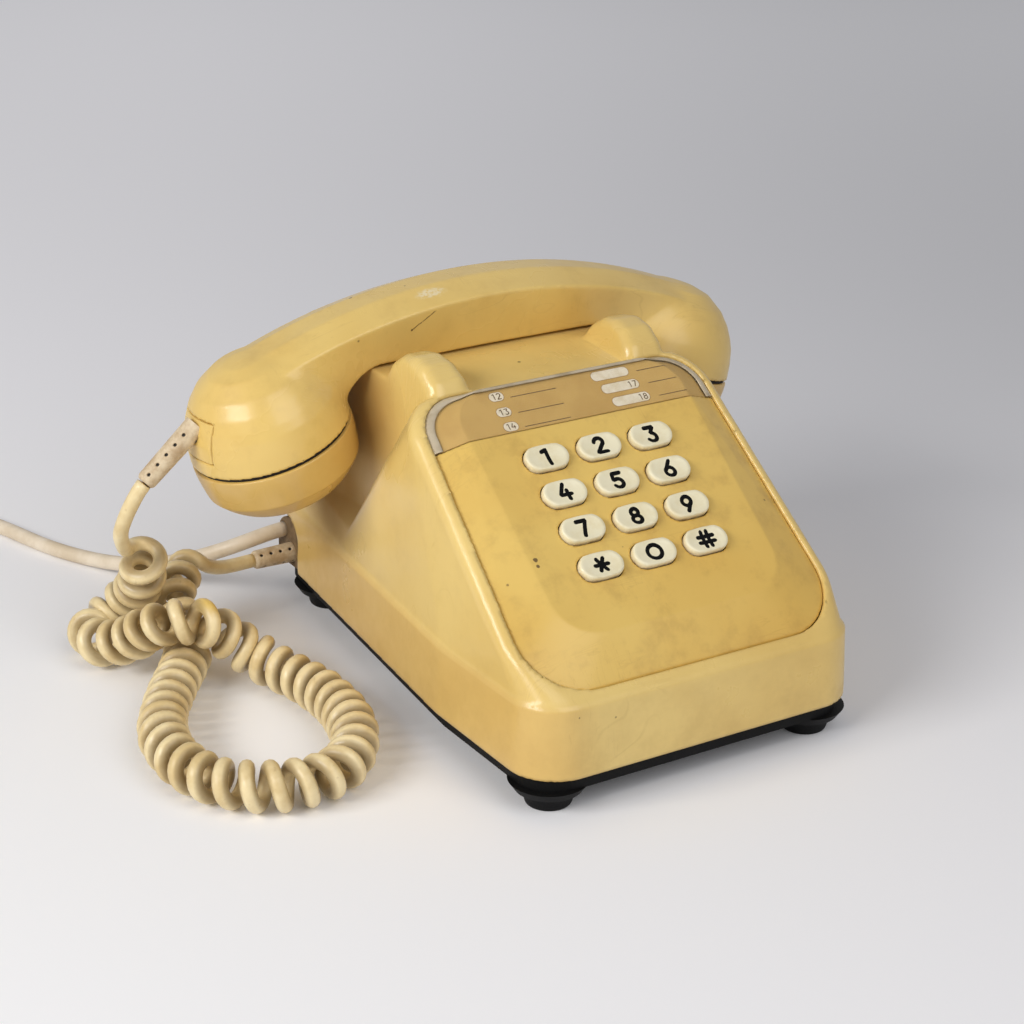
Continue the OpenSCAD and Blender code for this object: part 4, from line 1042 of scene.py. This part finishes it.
# ---- The number card ----------------------------------------------------------------------------
# A tan card for numbers lies in the top of the faceplate under a clear moulded cover with a
# thick rounded rim. It has small white panes, some with a figure, and ruled lines to write on.


def off_outline(x, y, discs):
    """How far points lie outside the outline stretched round some discs, given in turn: the greatest
    reach beyond it over the directions from each disc's centre and square to each straight side."""
    discs = np.array(discs, float)
    offs = [np.stack([x - cx, y - cy]) for cx, cy, r in discs]
    ways = [off / np.maximum(np.hypot(*off), 1e-9) for off in offs]
    for (ax, ay, ar), (bx, by, br) in zip(discs, np.roll(discs, -1, axis=0)):
        long = math.hypot(bx - ax, by - ay)
        sine = (ar - br) / long
        cosine = math.sqrt(1 - sine * sine)
        way = (sine * np.array([bx - ax, by - ay]) + cosine * np.array([by - ay, ax - bx])) / long
        ways.append(np.stack([np.full(x.shape, way[0]), np.full(x.shape, way[1])]))
    reaches = [x * wx + y * wy - np.max([cx * wx + cy * wy + r for cx, cy, r in discs], axis=0)
               for wx, wy in ways]
    return np.max(reaches, axis=0)


plate_discs = [(-36, -36.2, 20), (36, -36.2, 20), (38, 36.3, 14), (-38, 36.3, 14)]
field_discs = [(-27.5, -27, 14), (27.5, -27, 14), (29.5, 36.3, 12), (-29.5, 36.3, 12)]
bevel_drop = 4.6


def plate_height(x, y):
    """How far the faceplate's surface stands out at a point across and up it: level on its middle, and
    falling evenly across the bevel to its edge."""
    out = np.maximum(off_outline(x, y, field_discs), 0)
    left = np.maximum(-off_outline(x, y, plate_discs), 0)
    return -bevel_drop * out / np.maximum(out + left, 1e-6)


card_low, card_top, card_sunk = 31.6, 50.3, 0.55
corner_x, corner_y, corner_r = plate_discs[2]


def card_half(y, inset):
    """Half the width of the card at a height, that far inside the faceplate's outline: as far as its
    corner's circle reaches, and a little more below, where the plate widens."""
    radius = corner_r - inset
    return (corner_x + 0.055 * np.clip(corner_y - y, 0, 9)
            + np.sqrt(np.maximum(radius ** 2 - np.clip(y - corner_y, 0, radius) ** 2, 0)))


def on_card(flat, lift):
    """Points across and up the card, lifted off it, as points of the telephone."""
    return on_face(np.column_stack([flat, plate_height(*flat.T) - card_sunk + lift]))


def thicken(piece):
    """Gives a sheet a thickness of 0.4 mm below its face."""
    thick = piece.modifiers.new("thick", "SOLIDIFY")
    thick.thickness = 0.0004
    thick.offset = -1


across, up = np.meshgrid(np.linspace(-1, 1, 161), np.linspace(0, 1, 41), indexing="ij")
up = card_low + 0.25 + (card_top - 2.4 - card_low) * up
across = across * card_half(up, 2.2)
sheet = np.stack([across, up], -1).reshape(-1, 2)
card_paper, shader, place = new_finish("card_paper", Roughness=0.6)
worn = place.clouds(70, 4, 0.6).rise(0.35, 0.7)
fibre = place.clouds(900, 3, 0.6)
feed(shader, Base_Color=(worn * 0.7).blend(colour(208, 170, 96), colour(190, 150, 78)))
feed(shader, Normal=fibre.bump(0.00005, 0.4))
card = piece_from("number_card", on_card(sheet, 0), sheet_faces(*up.shape), card_paper)
thicken(card)
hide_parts("card_insert")
pane_white = plain_plastic("pane_paper", colour(244, 236, 216), colour(228, 216, 188), 0.5, 300)
line_ink = plain_plastic("line_ink", colour(96, 70, 40), colour(72, 52, 30), 0.6, 300)


def pane(x, y, long, high, lift):
    """A small patch with round ends on the card: rings of a slot shape drawn smaller and smaller."""
    sides = 40
    angle = np.linspace(0, 2 * np.pi, sides, endpoint=False)
    radius = high / 2
    half_x = np.cos(angle) * radius + np.sign(np.round(np.cos(angle), 6)) * (long / 2 - radius)
    edge = np.column_stack([half_x, np.sin(angle) * radius])
    rings = np.stack([edge * share for share in (1.0, 0.66, 0.33, 0.0)])
    return on_card(rings.reshape(-1, 2) + [x, y], lift), ring_faces(len(rings), sides)


left_panes = [(-25.2, 45.3), (-25.2, 39.4), (-25.2, 33.9)]
right_panes = [(17.5, 45.4), (19.0, 40.2), (20.5, 34.9)]


def all_panes(wider, lift):
    """Every pane of the card, so much longer and higher, lifted off it."""
    left = [pane(x, y, 5.1 + wider, 3.2 + wider, lift) for x, y in left_panes]
    return left + [pane(x, y, 14.1 + wider, 3.4 + wider, lift) for x, y in right_panes]


# Painted shadow: a darker ring a little wider than each pane lies round it, as the shadow along the edge of
# its slot.
pane_shadow = plain_plastic("pane_shadow", colour(176, 140, 84), colour(160, 124, 72), 0.6, 300)
shadow_rims = piece_from("pane_shadow_rims", *joined(*all_panes(0.5, 0.03)), pane_shadow)
whites = piece_from("card_panes", *joined(*all_panes(0, 0.06)), pane_white)


def ribbon(pen, half_w):
    """A flat pen stroke: a line with a point on each side of it."""
    pen = evenly(pen, 0.15)
    way = heading(pen)
    side = np.column_stack([-way[:, 1], way[:, 0]]) * half_w
    k = 2 * np.arange(len(pen) - 1)
    return np.stack([pen - side, pen + side], 1).reshape(-1, 2), np.stack([k, k + 1, k + 3, k + 2], -1)


def figures(text, x, y):
    """A short number in the keys' own figures, drawn small on the card."""
    scale = 0.42
    drawn = []
    for k, letter in enumerate(text):
        for pen in signs["key_" + letter]:
            pen = pen * scale + [x + (k - (len(text) - 1) / 2) * 4.2 * scale, y]
            flat, faces = ribbon(pen, 0.4 * scale)
            drawn.append((on_card(flat, 0.1), faces))
    return drawn


forms = figures("12", -25.2, 45.3) + figures("13", -25.2, 39.4) + figures("14", -25.2, 33.9)
forms += figures("17", 23.6, 40.2) + figures("18", 25.1, 34.9)
ruled = [(-12, 44.2, 17), (-12, 38.3, 17), (-12, 32.9, 17),
         (33.5, 44.6, 12), (35, 39.4, 11), (36.5, 34.1, 11)]
for x, y, long in ruled:
    flat, faces = ribbon(np.array([[x - long / 2, y], [x + long / 2, y]]), 0.13)
    forms.append((on_card(flat, 0.08), faces))
inked = piece_from("card_figures", *joined(*forms), line_ink)
for piece in (card, shadow_rims, whites, inked):
    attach(piece, "base")

# The cover: clear plastic that has gone faintly yellow, with fine scratches.
window_clear, shader, place = new_finish("window_clear", Roughness=0.12, IOR=1.49, Alpha=0.13)
shader.inputs["Base Color"].default_value = colour(216, 190, 138)
hairs = place.turned((0.2, 0.3, 0.5), (60, 500, 60)).clouds(1, 2) - 0.5
feed(shader, Roughness=hairs.size().rise(0.03, 0.0) * 0.25 + 0.1)
dress(window_clear, "card_window")

# Its rim is a low crowned strip along the faceplate's outline, up one side of the card, over its
# top and down the other.
rim_inset, rim_wide, rim_high = 1.25, 2.3, 0.28
side_y = np.linspace(card_low + 0.1, corner_y, 20)[:-1]
angle = np.linspace(0, np.pi / 2, 24)
corner = (corner_r - rim_inset) * np.column_stack([np.cos(angle), np.sin(angle)]) + [corner_x, corner_y]
right = np.vstack([np.column_stack([card_half(side_y, rim_inset), side_y]), corner])
over = np.column_stack([np.linspace(36, -36, 60), np.full(60, card_top - rim_inset)])
route = np.vstack([right, over, (right * [-1, 1])[::-1]])
way = heading(route)
outward = np.column_stack([way[:, 1], -way[:, 0]])
section = np.array([[-1, 0.0], [-0.9, 0.55], [-0.5, 0.9], [0, 1.0], [0.5, 0.9], [0.9, 0.5], [1, -0.35]])
flat = route[:, None] + outward[:, None] * (section[:, 0] * rim_wide / 2)[None, :, None]
height = plate_height(flat[..., 0], flat[..., 1]) + (section[:, 1] * rim_high)[None, :]
points = np.concatenate([flat, height[..., None]], -1).reshape(-1, 3)
rim_clear = plain_plastic("rim_clear", colour(196, 182, 156), colour(168, 152, 124), 0.16, 120)
rim = piece_from("cover_rim", on_face(points), sheet_faces(len(route), len(section)), rim_clear)
thicken(rim)
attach(rim, "base")
